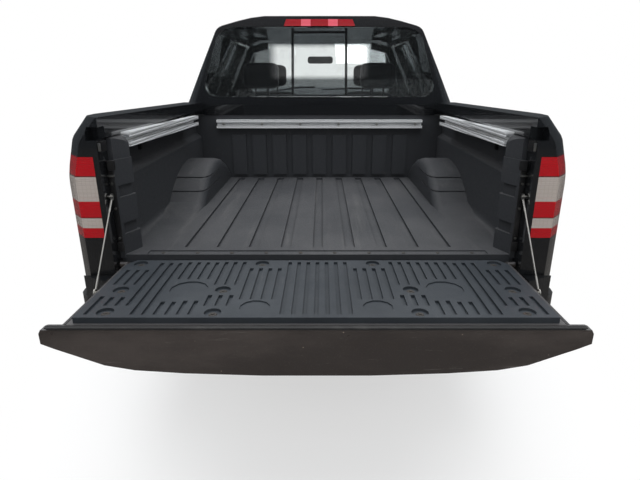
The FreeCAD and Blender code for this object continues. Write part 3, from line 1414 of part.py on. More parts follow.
def cargo_box():
    """The moulded inner box of the bed: floor, walls, wheelhouses and rear posts in one piece."""
    y0, y1 = station(BED_SILL_S), BED_FRONT_Y
    inner_y = station(BED_INSIDE_LENGTH)
    outer = bed_cavity(BED_WALL, BED_FLOOR).prism("y", station(POST_START), y1)
    hollow = bed_cavity().prism("y", station(POST_START) - CUT_OVERRUN, inner_y)
    opened = box(-WIDE, WIDE, station(POST_START) - CUT_OVERRUN, inner_y, BED_WALL_TOP_Z - BED_WALL / 2, ROOF_Z)
    header_room = box(-WIDE, WIDE, inner_y - CUT_OVERRUN, y1 + CUT_OVERRUN, HEADER_BASE_Z - RUNNING_GAP, ROOF_Z)
    shell = outer.cut(hollow).cut([opened, header_room])
    under = BED_FLOOR_Z - BED_FLOOR
    sill = box(-POST_REAR_X, POST_REAR_X, y0, station(POST_START) + CUT_OVERRUN, under, BED_FLOOR_Z)
    domes = both_sides(wheelhouse().common(outer))
    posts = both_sides(post())
    ribs = []
    for i in range(-WALL_RIBS_EACH_SIDE, WALL_RIBS_EACH_SIDE + 1):
        x0 = i * WALL_RIB_PITCH - WALL_RIB_WIDTH / 2
        z0 = BED_FLOOR_Z + WALL_RIB_BASE_RISE
        face = inner_y - WALL_RIB_DEPTH
        ribs.append(box(x0, x0 + WALL_RIB_WIDTH, face, inner_y + BED_FRONT_WALL / 2, z0, WALL_RIB_TOP_Z))
    whole = fused([shell, sill, *domes, *posts, *ribs])
    below = box(0, WIDE, station(WHEELHOUSE_START) + WHEELHOUSE_WALL, y1 - WHEELHOUSE_WALL, under - BED_FLOOR, ROOF_Z)
    room = wheelhouse(WHEELHOUSE_WALL).common(below)
    tools = [*both_sides(room)]
    for groove in wheelhouse_creases():
        tools.extend(both_sides(groove))
    for i in range(-GROOVES_EACH_SIDE, GROOVES_EACH_SIDE + 1):
        x0 = i * GROOVE_PITCH - GROOVE_WIDTH / 2
        z0 = BED_FLOOR_Z - GROOVE_DEPTH
        y_end = inner_y - GROOVE_END_GAP
        tools.append(box(x0, x0 + GROOVE_WIDTH, station(GROOVE_START), y_end, z0, BED_FLOOR_Z + CUT_OVERRUN))
    half, low = SILL_RECESS_HALF_WIDTH, BED_FLOOR_Z - SILL_RECESS_DEPTH
    tools.append(box(-half, half, station(SILL_RECESS_START), station(SILL_RECESS_END), low, BED_FLOOR_Z + CUT_OVERRUN))
    return main_solid(cut(whole, tools))


def bed_header():
    """The painted bar along the top of the bed's front wall."""
    half = HEADER_HALF_LENGTH
    inner_y = station(BED_INSIDE_LENGTH)
    return box(-half, half, inner_y - HEADER_SETBACK, BED_FRONT_Y, HEADER_BASE_Z, HEADER_TOP_Z)


def cross_sills():
    sills = []
    for share in CROSS_SILL_SHARES:
        y0 = station(BED_SILL_S + (BED_LENGTH - BED_SILL_S) * share)
        top = BED_FLOOR_Z - BED_FLOOR - RUNNING_GAP
        reach = WHEELHOUSE_HALF_GAP - CUT_OVERRUN
        sills.append(box(-reach, reach, y0, y0 + CROSS_SILL_WIDTH, BED_MOUNT_TOP_Z, top))
    return sills


def bed_side_section():
    """The right bed side across the truck, from its lower edge up to the top of the rail."""
    return Outline(
        [
            (RAIL_OUTER_X, BED_SIDE_BOTTOM_Z),
            (SILL_HALF_WIDTH + SHOULDER_STEP, BED_SIDE_BOTTOM_Z, SILL_RADIUS),
            (BODY_HALF_WIDTH, LOWER_CREASE_Z, SIDE_RADIUS),
            (BODY_HALF_WIDTH, BED_WAIST_Z, BED_WAIST_RADIUS),
            (BODY_HALF_WIDTH - BED_SHOULDER_STEP, BED_SHOULDER_Z, BED_SHOULDER_RADIUS),
            (RAIL_OUTER_HALF_WIDTH, RAIL_REAR_Z, RAIL_RADIUS),
            (RAIL_OUTER_X, RAIL_REAR_Z),
        ]
    )


def bed_side_envelope():
    """The right bed side as a solid, drawn inwards over its last stretch towards the rear."""
    section = bed_side_section()
    pieces = [section.prism("y", station(REAR_TUCK_RUN), BED_FRONT_Y)]
    for (far, far_in), (near, near_in) in zip(REAR_TUCK_SHARES, REAR_TUCK_SHARES[1:]):
        y0, y1 = station(REAR_TUCK_RUN * near), station(REAR_TUCK_RUN * far)
        shift = REAR_TUCK * (near_in - far_in)
        piece = section.prism("y", y0, y1, Vector(shift, 0, 0))
        piece.translate(Vector(-REAR_TUCK * near_in, 0, 0))
        pieces.append(piece)
    whole = fused(pieces)
    above = Outline(
        [
            (station(0) - CUT_OVERRUN, RAIL_REAR_Z),
            (BED_FRONT_Y + CUT_OVERRUN, RAIL_FRONT_Z),
            (BED_FRONT_Y + CUT_OVERRUN, ROOF_Z),
            (station(0) - CUT_OVERRUN, ROOF_Z),
        ]
    ).prism("x", 0, WIDE)
    return whole.cut(above)


def lamp_tool(inset=0):
    return Outline(
        [
            (station(0) - CUT_OVERRUN, LAMP_BASE_Z),
            (station(LAMP_LENGTH), LAMP_BASE_Z, LAMP_RADIUS),
            (station(LAMP_TOP_LENGTH), LAMP_TOP_Z, LAMP_RADIUS),
            (station(0) - CUT_OVERRUN, LAMP_TOP_Z),
        ]
    ).offset(inset).prism("x", LAMP_INNER_HALF_WIDTH + inset, WIDE)


def bed_side_room():
    """The space that the inner box takes up inside the bed sides."""
    outline = bed_cavity(BED_WALL + BED_SIDE_GAP, BED_FLOOR + BED_SIDE_GAP)
    return outline.prism("y", station(POST_START) - BED_SIDE_GAP, BED_FRONT_Y + CUT_OVERRUN)


def tail_lamp():
    return main_solid(bed_side_envelope().common(lamp_tool(RUNNING_GAP)).cut(bed_side_room()))


def bed_side():
    """The right bed side: outer panel, rail and rear pillar in one."""
    whole = bed_side_envelope()
    inner = bed_side_room()
    over = box(0, RAIL_INNER_HALF_WIDTH, station(0) - CUT_OVERRUN, BED_FRONT_Y + CUT_OVERRUN, 0, ROOF_Z)
    jamb = box(0, OPENING_HALF_WIDTH, station(0) - CUT_OVERRUN, station(POST_START), 0, BED_WALL_TOP_Z)
    wall_x = SILL_HALF_WIDTH - BODY_WALL
    under = box(0, wall_x, station(BODY_WALL), BED_FRONT_Y + CUT_OVERRUN, 0, BED_FLOOR_Z - BED_FLOOR)
    arch = arch_round(REAR_AXLE_Y, ARCH_RADIUS)
    front_low = box(0, WIDE, BED_FRONT_Y - BED_FRONT_WALL, BED_FRONT_Y + CUT_OVERRUN, 0, SILL_Z)
    ear_y = station(TAILGATE_HINGE_S + TAILGATE_FACE_RISE + EAR_CLEARANCE)
    ear_top = TAILGATE_HINGE_Z + TAILGATE_HEIGHT
    ear_x = LIP_HALF_WIDTH + EAR_CLEARANCE
    low = ear_top - LIP_HEIGHT - PANEL_GAP - EAR_CLEARANCE
    notch = box(0, ear_x, station(0) - CUT_OVERRUN, ear_y, low, ear_top + EAR_CLEARANCE)
    tools = [inner, over, jamb, under, arch, front_low, notch, lamp_tool()]
    return main_solid(cut(whole, tools))


# Tailgate


def tailgate_point(length, height):
    """Where a point of the let-down tailgate is: (y, z), by its distance from the hinge and above it."""
    return station(TAILGATE_HINGE_S) - length, TAILGATE_HINGE_Z + height


def tailgate():
    """The tailgate: its panel, the wider lip along its top edge, and the two pins that it turns on."""
    y_heel, z_face = tailgate_point(-TAILGATE_HEEL, TAILGATE_FACE_RISE)
    y_top = tailgate_point(TAILGATE_HEIGHT, 0)[0]
    y_lip = tailgate_point(TAILGATE_HEIGHT - LIP_HEIGHT, 0)[0]
    z_skin = TAILGATE_HINGE_Z - TAILGATE_SKIN_DROP
    z_low = TAILGATE_HINGE_Z - LIP_DEPTH
    panel = Outline(
        mirrored(
            [
                (NOSE_FLAT_HALF_WIDTH, z_skin - TAILGATE_BOW, NOSE_FLAT_RADIUS),
                (TAILGATE_HALF_WIDTH, z_skin),
                (TAILGATE_HALF_WIDTH, z_face, TAILGATE_EDGE_RADIUS),
            ]
        )
    ).prism("y", y_lip, y_heel)
    edge = [(LIP_HALF_WIDTH * across, TAILGATE_HINGE_Z - LIP_DEPTH * deep) for across, deep in reversed(LIP_EDGE_SHARES)]
    lip = Outline(mirrored([*edge, (LIP_HALF_WIDTH, z_face, LIP_EDGE_RADIUS)])).prism("y", y_top, y_lip + PANEL_GAP)
    rounded = Outline(
        [
            (y_top, z_low),
            (y_lip + LIP_BLEND, z_low),
            (y_lip + LIP_BLEND, z_face),
            (y_top, z_face, LIP_EDGE_RADIUS),
        ]
    ).prism("x", -WIDE, WIDE)
    slope = Outline(
        [
            (y_lip + LIP_BLEND, z_skin - TAILGATE_BOW),
            (y_lip, z_low),
            (y_lip, z_skin),
            (y_lip + LIP_BLEND, z_skin),
        ]
    ).prism("x", -NOSE_FLAT_HALF_WIDTH / 2, NOSE_FLAT_HALF_WIDTH / 2)
    pins = [
        cylinder("x", (x0, *tailgate_point(0, 0)), HINGE_PIN_RADIUS, HINGE_PIN_REACH + CUT_OVERRUN)
        for x0 in (TAILGATE_HALF_WIDTH - CUT_OVERRUN, -TAILGATE_HALF_WIDTH - HINGE_PIN_REACH)
    ]
    groove_z = z_face - SEAM_DEPTH
    seams = [box(-SEAM_HALF_WIDTH, SEAM_HALF_WIDTH, y_lip, y_lip + SEAM_WIDTH, groove_z, z_face + CUT_OVERRUN)]
    for x0 in (SEAM_HALF_WIDTH - SEAM_WIDTH, -SEAM_HALF_WIDTH):
        seams.append(box(x0, x0 + SEAM_WIDTH, y_lip, y_heel + CUT_OVERRUN, groove_z, z_face + CUT_OVERRUN))
    return cut(fused([panel, lip.common(rounded), slope, *pins]), seams)


def tailgate_liner():
    """The liner over the tailgate's inner face, with its slots, screw recesses and wide shallow recesses."""
    y_near, z0 = tailgate_point(LINER_START + LINER_LENGTH, TAILGATE_FACE_RISE + RUNNING_GAP)
    y_far = tailgate_point(LINER_START, 0)[0]
    top = z0 + LINER_THICKNESS
    over = top + CUT_OVERRUN
    plan = Outline(
        mirrored(
            [
                (LINER_HALF_WIDTH, y_near),
                (LINER_HALF_WIDTH, y_far - LINER_CHAMFER),
                (LINER_HALF_WIDTH - LINER_CHAMFER * 2 / 3, y_far),
            ]
        )
    )
    body = plan.prism("z", z0, top)
    tools = []
    for first, last, start, end in SLOT_SHARES:
        for step in range(first, last + 1):
            x0 = SLOT_PITCH * step - SLOT_WIDTH / 2
            y0, y1 = y_near + LINER_LENGTH * start, y_near + LINER_LENGTH * end
            slot = box(x0, x0 + SLOT_WIDTH, y0, y1, top - SLOT_DEPTH, over)
            tools.extend(both_sides(slot) if step else [slot])
    for across, along, size in RECESS_SHARES:
        depth = SLOT_DEPTH if size == 1 else SHALLOW_RECESS_DEPTH
        centre = (LINER_HALF_WIDTH * across, y_near + LINER_LENGTH * along, top - depth)
        tools.extend(both_sides(faceted("z", centre, RECESS_RADIUS * size, over - centre[2], RECESS_SIDES)))
    return cut(body, tools)


def cable():
    """The right stay cable, as one rod from its eye on the bed to its stud against the tailgate's side."""
    top = Vector(CABLE_PLANE_X, station(CABLE_TOP_S), CABLE_TOP_Z)
    end = Vector(CABLE_PLANE_X, *tailgate_point(CABLE_ANCHOR, CABLE_ANCHOR_RISE))
    way = Vector(end - top).normalize()
    start_gap = EYE_RADIUS - CRIMP_RADIUS / 2
    grip = start_gap + CRIMP_LENGTH
    inner, outer = CABLE_PLANE_X - EYE_THICKNESS / 2, CABLE_PLANE_X + EYE_THICKNESS / 2
    pieces = [
        rod(top + way * EYE_RADIUS, end - way * EYE_RADIUS, CABLE_RADIUS),
        rod(top + way * start_gap, top + way * grip, CRIMP_RADIUS),
        rod(end - way * grip, end - way * start_gap, CRIMP_RADIUS),
    ]
    for centre in (top, end):
        pieces.append(faceted("x", (inner, centre.y, centre.z), EYE_RADIUS, EYE_THICKNESS, MOUNT_SIDES))
    stud_x = TAILGATE_HALF_WIDTH + RUNNING_GAP
    stud = faceted("x", (stud_x, end.y, end.z), STUD_RADIUS, outer - stud_x, MOUNT_SIDES)
    hole = faceted("x", (inner - CUT_OVERRUN, top.y, top.z), EYE_HOLE_RADIUS, 2 * CUT_OVERRUN, MOUNT_SIDES)
    return fused([fused(pieces).cut(hole), stud])


def cable_studs():
    """The studs on the bed that the cables hang from."""
    inner = CABLE_PLANE_X - EYE_THICKNESS / 2 - STUD_HEAD
    reach = OPENING_HALF_WIDTH - RUNNING_GAP - inner
    shank = faceted("x", (inner, station(CABLE_TOP_S), CABLE_TOP_Z), STUD_RADIUS, reach, MOUNT_SIDES)
    return both_sides(shank)


# Utility tracks


def track(length):
    """A track section drawn along +Y from the origin: a bar with a slot that opens out inside it."""
    half = TRACK_HEIGHT / 2
    inner = TRACK_CAVITY / 2
    slot = TRACK_SLOT / 2
    return Outline(
        [
            (0, half),
            (0, -half),
            (-TRACK_DEPTH, -half),
            (-TRACK_DEPTH, -slot),
            (-TRACK_DEPTH + TRACK_WALL, -slot),
            (-TRACK_DEPTH + TRACK_WALL, -inner),
            (-TRACK_WALL, -inner),
            (-TRACK_WALL, inner),
            (-TRACK_DEPTH + TRACK_WALL, inner),
            (-TRACK_DEPTH + TRACK_WALL, slot),
            (-TRACK_DEPTH, slot),
            (-TRACK_DEPTH, half),
        ]
    ).prism("y", 0, length)


def track_fall(s):
    """How far the bed's rails have come down at a distance ahead of its rear face."""
    return (RAIL_REAR_Z - RAIL_FRONT_Z) * s / BED_LENGTH


def utility_tracks():
    length = SIDE_TRACK_END - SIDE_TRACK_START
    rail = track(length)
    slope = math.atan2(track_fall(length), length)
    rail.rotate(Vector(0, 0, 0), Vector(1, 0, 0), -math.degrees(slope))
    rail.translate(Vector(RAIL_INNER_HALF_WIDTH, station(SIDE_TRACK_START), SIDE_TRACK_Z - track_fall(SIDE_TRACK_START)))
    feet = []
    for share in TRACK_FOOT_SHARES:
        s0 = SIDE_TRACK_START + length * share
        y0 = station(s0) - TRACK_HEIGHT / 2
        low = SIDE_TRACK_Z - track_fall(s0) - TRACK_HEIGHT * 2 / 3
        foot = box(RAIL_INNER_HALF_WIDTH - TRACK_WALL, WIDE, y0, y0 + TRACK_HEIGHT, low, low + TRACK_HEIGHT)
        feet.append(foot.common(bed_cavity(-RUNNING_GAP).prism("y", station(0), BED_FRONT_Y)))
    side = fused([rail, *feet])
    front = track(2 * FRONT_TRACK_HALF_LENGTH)
    front.rotate(Vector(0, 0, 0), Vector(0, 0, 1), 90)
    front.translate(Vector(FRONT_TRACK_HALF_LENGTH, station(BED_INSIDE_LENGTH) - RUNNING_GAP, FRONT_TRACK_Z))
    return [*both_sides(side), front]


# Rear bumper and hitch


def bumper_plan(inset=0):
    rear = station(BUMPER_REAR_S)
    return Outline(
        mirrored(
            [
                (PLATE_HALF_WIDTH + PLATE_DEPTH, rear, NOSE_FLAT_RADIUS),
                (REAR_BUMPER_HORN_X, rear + REAR_BUMPER_BOW, REAR_BUMPER_TUCK),
                (REAR_BUMPER_HALF_WIDTH, rear + REAR_BUMPER_BOW + REAR_BUMPER_TUCK, REAR_BUMPER_TUCK),
                (REAR_BUMPER_HALF_WIDTH, rear + REAR_BUMPER_WRAP),
            ]
        )
    ).offset(inset)


def rear_bumper():
    whole = bumper_plan().prism("z", REAR_BUMPER_BOTTOM_Z, REAR_BUMPER_HORN_Z)
    step = box(-REAR_BUMPER_HORN_X, REAR_BUMPER_HORN_X, station(BUMPER_REAR_S) - CUT_OVERRUN, station(REAR_BUMPER_WRAP), REAR_BUMPER_TOP_Z, ROOF_Z)
    inside = bumper_plan(REAR_BUMPER_WALL).prism("z", 0, REAR_BUMPER_TOP_Z - REAR_BUMPER_WALL)
    front = box(-REAR_BUMPER_HORN_X, REAR_BUMPER_HORN_X, station(BUMPER_FRONT_S), station(REAR_BUMPER_WRAP), 0, ROOF_Z)
    open_front = box(
        -REAR_BUMPER_HALF_WIDTH + REAR_BUMPER_WALL,
        REAR_BUMPER_HALF_WIDTH - REAR_BUMPER_WALL,
        station(BUMPER_FRONT_S),
        station(REAR_BUMPER_WRAP),
        0,
        ROOF_Z,
    )
    corners = both_sides(box(REAR_BUMPER_HORN_X, WIDE, station(-PANEL_GAP), station(REAR_BUMPER_WRAP), REAR_BUMPER_TOP_Z, ROOF_Z))
    sides = both_sides(bed_side_envelope().common(box(0, WIDE, station(0) - PANEL_GAP, BED_FRONT_Y, BED_SIDE_BOTTOM_Z, REAR_BUMPER_HORN_Z + PANEL_GAP)))
    plate = box(-PLATE_HALF_WIDTH, PLATE_HALF_WIDTH, station(BUMPER_REAR_S) - CUT_OVERRUN, station(BUMPER_REAR_S) + PLATE_DEPTH, PLATE_BASE_Z, PLATE_BASE_Z + PLATE_HEIGHT)
    ball_at = (0, station((BUMPER_REAR_S + BUMPER_FRONT_S) / 2), REAR_BUMPER_BOTTOM_Z)
    ball = cylinder("z", ball_at, BALL_HOLE_RADIUS, ROOF_Z)
    whole = cut(whole, [step, inside, front, open_front, *corners, *sides, plate])
    brackets = [
        box(x0, x0 + RAIL_WIDTH, station(BUMPER_REAR_S) + REAR_BUMPER_WALL / 2, station(RAIL_REAR_S) - RUNNING_GAP, RAIL_REAR_UNDER_Z, RAIL_REAR_UNDER_Z + RAIL_HEIGHT / 2)
        for x0 in (RAIL_OUTER_X - RAIL_WIDTH, -RAIL_OUTER_X)
    ]
    within = bumper_plan(REAR_BUMPER_WALL / 4).prism("z", 0, ROOF_Z)
    ahead = box(-WIDE, WIDE, station(0) - REAR_BUMPER_WALL, BED_FRONT_Y, 0, ROOF_Z)
    brackets = [b.common(within.fuse(ahead)) for b in brackets]
    return main_solid(fused([main_solid(whole), *brackets]).cut(ball))


def hitch_receiver():
    half = RECEIVER_OUTER / 2
    bore = RECEIVER_INNER / 2
    y0, y1 = station(RECEIVER_MOUTH_S), station(RECEIVER_MOUTH_S + RECEIVER_LENGTH)
    tube = box(-half, half, y0, y1, RECEIVER_Z - half, RECEIVER_Z + half)
    bar = box(-RAIL_OUTER_X, RAIL_OUTER_X, y1 - HITCH_BAR, y1, RECEIVER_Z - half, RECEIVER_Z + half)
    plates = [
        box(x0, x0 + REAR_BUMPER_WALL, y1 - HITCH_BAR, y1, RECEIVER_Z - half, RAIL_REAR_UNDER_Z - RUNNING_GAP)
        for x0 in (RAIL_OUTER_X - REAR_BUMPER_WALL, -RAIL_OUTER_X)
    ]
    hollow = box(-bore, bore, y0 - CUT_OVERRUN, y1 - HITCH_BAR, RECEIVER_Z - bore, RECEIVER_Z + bore)
    pin_at = (-half - CUT_OVERRUN, y0 + HITCH_PIN_SETBACK, RECEIVER_Z)
    pin = round_bar("x", pin_at, HITCH_PIN_RADIUS, RECEIVER_OUTER + 2 * CUT_OVERRUN)
    return cut(fused([tube, bar, *plates]), [hollow, pin])


# Frame and running gear


def frame_rail():
    """The right frame rail from the side, with its rise over the rear axle."""
    under = [
        (station(RAIL_REAR_S), RAIL_REAR_UNDER_Z, 0),
        (REAR_AXLE_Y - RAIL_ARCH_REAR_RUN, RAIL_REAR_UNDER_Z, RAIL_HEIGHT),
        (REAR_AXLE_Y - RAIL_ARCH_REAR_RUN / 2, RAIL_ARCH_UNDER_Z, RAIL_HEIGHT),
        (REAR_AXLE_Y + RAIL_ARCH_FRONT_RUN, RAIL_ARCH_UNDER_Z, RAIL_HEIGHT),
        (REAR_AXLE_Y + RAIL_ARCH_END_RUN, RAIL_MID_UNDER_Z, RAIL_HEIGHT),
        (FRONT_AXLE_Y - ARCH_RADIUS - CAB_LENGTH / 10, RAIL_MID_UNDER_Z, RAIL_HEIGHT),
        (FRONT_AXLE_Y - ARCH_RADIUS, RAIL_FRONT_UNDER_Z, RAIL_HEIGHT),
        (NOSE_Y - RAIL_FRONT_SETBACK, RAIL_FRONT_UNDER_Z, 0),
    ]
    top = [(y, z + RAIL_HEIGHT, r) for y, z, r in reversed(under)]
    return Outline(under + top).prism("x", RAIL_OUTER_X - RAIL_WIDTH, RAIL_OUTER_X), under


def rail_under_at(y):
    under = frame_rail()[1]
    for (y0, z0, _), (y1, z1, _) in zip(under, under[1:]):
        if y0 <= y <= y1:
            return z0 + (z1 - z0) * (y - y0) / (y1 - y0)
    return under[-1][1]


def body_mount(x, y, top):
    """A round mount that stands on an arm out from the right rail and ends under the body."""
    base = rail_under_at(y) + RAIL_HEIGHT / 3
    arm = box(RAIL_OUTER_X - RAIL_WIDTH / 2, x + MOUNT_RADIUS, y - MOUNT_RADIUS, y + MOUNT_RADIUS, base, base + RAIL_HEIGHT / 3)
    puck = faceted("z", (x, y, base), MOUNT_RADIUS, top - RUNNING_GAP - base, MOUNT_SIDES)
    return fused([arm, puck])


def frame():
    rail = frame_rail()[0]
    pieces = both_sides(rail)
    inner = RAIL_OUTER_X - RAIL_WIDTH / 2
    for place in CROSSMEMBER_PLACES:
        y0 = station(place)
        z0 = rail_under_at(y0 + CROSSMEMBER / 2) + RAIL_HEIGHT / 6
        pieces.append(box(-inner, inner, y0, y0 + CROSSMEMBER, z0, z0 + RAIL_HEIGHT * 2 / 3))
    y0 = station(CRADLE_S)
    reach = RAIL_OUTER_X - RAIL_WIDTH / 4
    pieces.append(box(-reach, reach, y0, y0 + CROSSMEMBER, CRADLE_UNDER_Z, CRADLE_UNDER_Z + CRADLE_HEIGHT))
    for place in CAB_MOUNT_PLACES:
        pieces.extend(both_sides(body_mount(MOUNT_X, station(place), CAB_UNDER_Z)))
    for place in BED_MOUNT_PLACES:
        y = station(place)
        base = rail_under_at(y) + RAIL_HEIGHT / 2
        x = RAIL_OUTER_X - RAIL_WIDTH / 2
        pieces.extend(both_sides(faceted("z", (x, y, base), RAIL_WIDTH / 2, BED_MOUNT_TOP_Z - RUNNING_GAP - base, MOUNT_SIDES)))
    tower_x = RAIL_OUTER_X - TOWER_WALL
    wall = box(tower_x, RAIL_OUTER_X, FRONT_AXLE_Y - TOWER_HALF_LENGTH, FRONT_AXLE_Y + TOWER_HALF_LENGTH, RAIL_FRONT_UNDER_Z, TOWER_TOP_Z)
    shelf = box(tower_x, TOWER_REACH, FRONT_AXLE_Y - TOWER_HALF_LENGTH, FRONT_AXLE_Y + TOWER_HALF_LENGTH, TOWER_TOP_Z - TOWER_WALL, TOWER_TOP_Z)
    pieces.extend(both_sides(fused([wall, shelf])))
    tunnel = cylinder("y", (0, REAR_AXLE_Y, SHAFT_Z), SHAFT_RADIUS + CUT_OVERRUN, FRONT_AXLE_Y - REAR_AXLE_Y - ENGINE_BEHIND_AXLE)
    pipe = cylinder("y", (EXHAUST_X, REAR_AXLE_Y, EXHAUST_Z), PIPE_RADIUS + CUT_OVERRUN, FRONT_AXLE_Y - REAR_AXLE_Y - ENGINE_BEHIND_AXLE)
    return fused(pieces).cut([tunnel, pipe])


def powertrain():
    """A plain engine block, gearbox and propeller shaft."""
    y0 = FRONT_AXLE_Y - ENGINE_BEHIND_AXLE
    engine = box(-ENGINE_WIDTH / 2, ENGINE_WIDTH / 2, y0, y0 + ENGINE_LENGTH, ENGINE_BASE_Z, ENGINE_BASE_Z + ENGINE_HEIGHT)
    gearbox_top = CAB_UNDER_Z - CUT_OVERRUN / 2
    gearbox = box(-GEARBOX_WIDTH / 2, GEARBOX_WIDTH / 2, y0 - GEARBOX_LENGTH, y0 + CUT_OVERRUN, gearbox_top - GEARBOX_HEIGHT, gearbox_top)
    shaft_end = REAR_AXLE_Y + DIFF_RADIUS + RUNNING_GAP
    shaft = cylinder("y", (0, shaft_end, SHAFT_Z), SHAFT_RADIUS, y0 - GEARBOX_LENGTH + CUT_OVERRUN - shaft_end)
    feet = [
        box(x0, x1, y0 + ENGINE_LENGTH / 2 - CROSSMEMBER / 2, y0 + ENGINE_LENGTH / 2 + CROSSMEMBER / 2, ENGINE_BASE_Z, RAIL_FRONT_UNDER_Z + RAIL_HEIGHT)
        for x0, x1 in ((0, RAIL_OUTER_X - RAIL_WIDTH - RUNNING_GAP), (-RAIL_OUTER_X + RAIL_WIDTH + RUNNING_GAP, 0))
    ]
    return fused([engine, gearbox, shaft, *feet])


def rear_axle():
    """The rear axle with its differential, brakes and leaf springs."""
    hub = WHEEL_X + HUB_FACE - RUNNING_GAP
    tube = cylinder("x", (-hub, REAR_AXLE_Y, TYRE_RADIUS), AXLE_TUBE_RADIUS, 2 * hub)
    diff = cylinder("x", (-DIFF_HALF_WIDTH, REAR_AXLE_Y, TYRE_RADIUS), DIFF_RADIUS, 2 * DIFF_HALF_WIDTH)
    brakes = [
        cylinder("x", (x0, REAR_AXLE_Y, TYRE_RADIUS), BRAKE_RADIUS, BRAKE_WIDTH)
        for x0 in (WHEEL_X - BRAKE_WIDTH, -WHEEL_X)
    ]
    low = TYRE_RADIUS + AXLE_TUBE_RADIUS - SPRING_THICKNESS / 2
    under = [
        (REAR_AXLE_Y - SPRING_HALF_LENGTH, low + SPRING_SAG, 0),
        (REAR_AXLE_Y - SPRING_HALF_LENGTH / 4, low, SPRING_HALF_LENGTH),
        (REAR_AXLE_Y + SPRING_HALF_LENGTH / 4, low, SPRING_HALF_LENGTH),
        (REAR_AXLE_Y + SPRING_HALF_LENGTH, low + SPRING_SAG, 0),
    ]
    over = [(y, z + SPRING_THICKNESS, r) for y, z, r in reversed(under)]
    spring = Outline(under + over).prism("x", SPRING_X - SPRING_WIDTH / 2, SPRING_X + SPRING_WIDTH / 2)
    hangers = []
    for way in (-1, 1):
        y = REAR_AXLE_Y + way * (SPRING_HALF_LENGTH - SPRING_THICKNESS)
        rail = rail_under_at(y)
        eye = low + SPRING_SAG
        arm = rail + RAIL_HEIGHT / 6 if rail > eye else rail + RAIL_HEIGHT * 2 / 3
        y0, y1 = y - SPRING_THICKNESS, y + SPRING_THICKNESS
        base, top = min(eye, arm), max(eye + SPRING_THICKNESS, arm + RAIL_HEIGHT / 3)
        hangers.append(box(SPRING_X - SPRING_WIDTH / 2, SPRING_X + SPRING_WIDTH / 2, y0, y1, base, top))
        hangers.append(box(RAIL_OUTER_X + RUNNING_GAP, SPRING_X, y0, y1, arm, arm + RAIL_HEIGHT / 3))
    side = fused([spring, *hangers])
    return fused([tube, diff, *brakes, *both_sides(side)])


def front_suspension():
    """The right front suspension: two arms and a strut between them and the tower."""
    root = RAIL_OUTER_X + RUNNING_GAP
    tip = KINGPIN_X + KNUCKLE_WIDTH / 2
    waist = KINGPIN_X - ARM_WAIST_REACH
    pieces = []
    arms = (
        (TYRE_RADIUS - KNUCKLE_HEIGHT / 2 - ARM_THICKNESS - RUNNING_GAP, ARM_ROOT_HALF_WIDTH),
        (TYRE_RADIUS + KNUCKLE_HEIGHT / 2 + RUNNING_GAP, ARM_ROOT_HALF_WIDTH / 2),
    )
    for z0, half in arms:
        arm = Outline(
            [
                (root, FRONT_AXLE_Y - half),
                (waist, FRONT_AXLE_Y - ARM_TIP_HALF_WIDTH),
                (tip, FRONT_AXLE_Y - ARM_TIP_HALF_WIDTH, ARM_TIP_HALF_WIDTH / 2),
                (tip, FRONT_AXLE_Y + ARM_TIP_HALF_WIDTH, ARM_TIP_HALF_WIDTH / 2),
                (waist, FRONT_AXLE_Y + ARM_TIP_HALF_WIDTH),
                (root, FRONT_AXLE_Y + half),
            ]
        )
        pieces.append(arm.prism("z", z0, z0 + ARM_THICKNESS))
    low = arms[0][0]
    foot = box(root, root + ARM_THICKNESS, FRONT_AXLE_Y - ARM_ROOT_HALF_WIDTH, FRONT_AXLE_Y + ARM_ROOT_HALF_WIDTH, low, RAIL_FRONT_UNDER_Z + RAIL_HEIGHT / 3)
    strut_top = TOWER_TOP_Z - TOWER_WALL - RUNNING_GAP
    strut = faceted("z", (STRUT_X, FRONT_AXLE_Y, low + ARM_THICKNESS / 2), STRUT_RADIUS, strut_top - low - ARM_THICKNESS / 2, MOUNT_SIDES)
    return fused([*pieces, foot, strut])


def knuckle():
    """The right steering knuckle with its brake and stub axle, about an upright kingpin."""
    upright = box(
        KINGPIN_X - KNUCKLE_WIDTH / 2,
        KINGPIN_X + KNUCKLE_WIDTH / 2,
        FRONT_AXLE_Y - KNUCKLE_DEPTH / 2,
        FRONT_AXLE_Y + KNUCKLE_DEPTH / 2,
        TYRE_RADIUS - KNUCKLE_HEIGHT / 2,
        TYRE_RADIUS + KNUCKLE_HEIGHT / 2,
    )
    stub = cylinder("x", (KINGPIN_X, FRONT_AXLE_Y, TYRE_RADIUS), AXLE_TUBE_RADIUS, WHEEL_X + HUB_FACE - RUNNING_GAP - KINGPIN_X)
    disc = cylinder("x", (WHEEL_X - BRAKE_WIDTH, FRONT_AXLE_Y, TYRE_RADIUS), BRAKE_RADIUS, BRAKE_WIDTH)
    return fused([upright, stub, disc])


def tyre(y, x=WHEEL_X):
    """A tyre about an axle along X, its middle at x."""
    half, tread, bead = TYRE_WIDTH / 2, TREAD_WIDTH / 2, BEAD_WIDTH / 2
    points = [
        (x - bead, BEAD_RADIUS),
        (x + bead, BEAD_RADIUS),
        (x + half, TYRE_SIDE_RADIUS),
        (x + tread, TYRE_RADIUS),
        (x - tread, TYRE_RADIUS),
        (x - half, TYRE_SIDE_RADIUS),
    ]
    return turned(points, y)


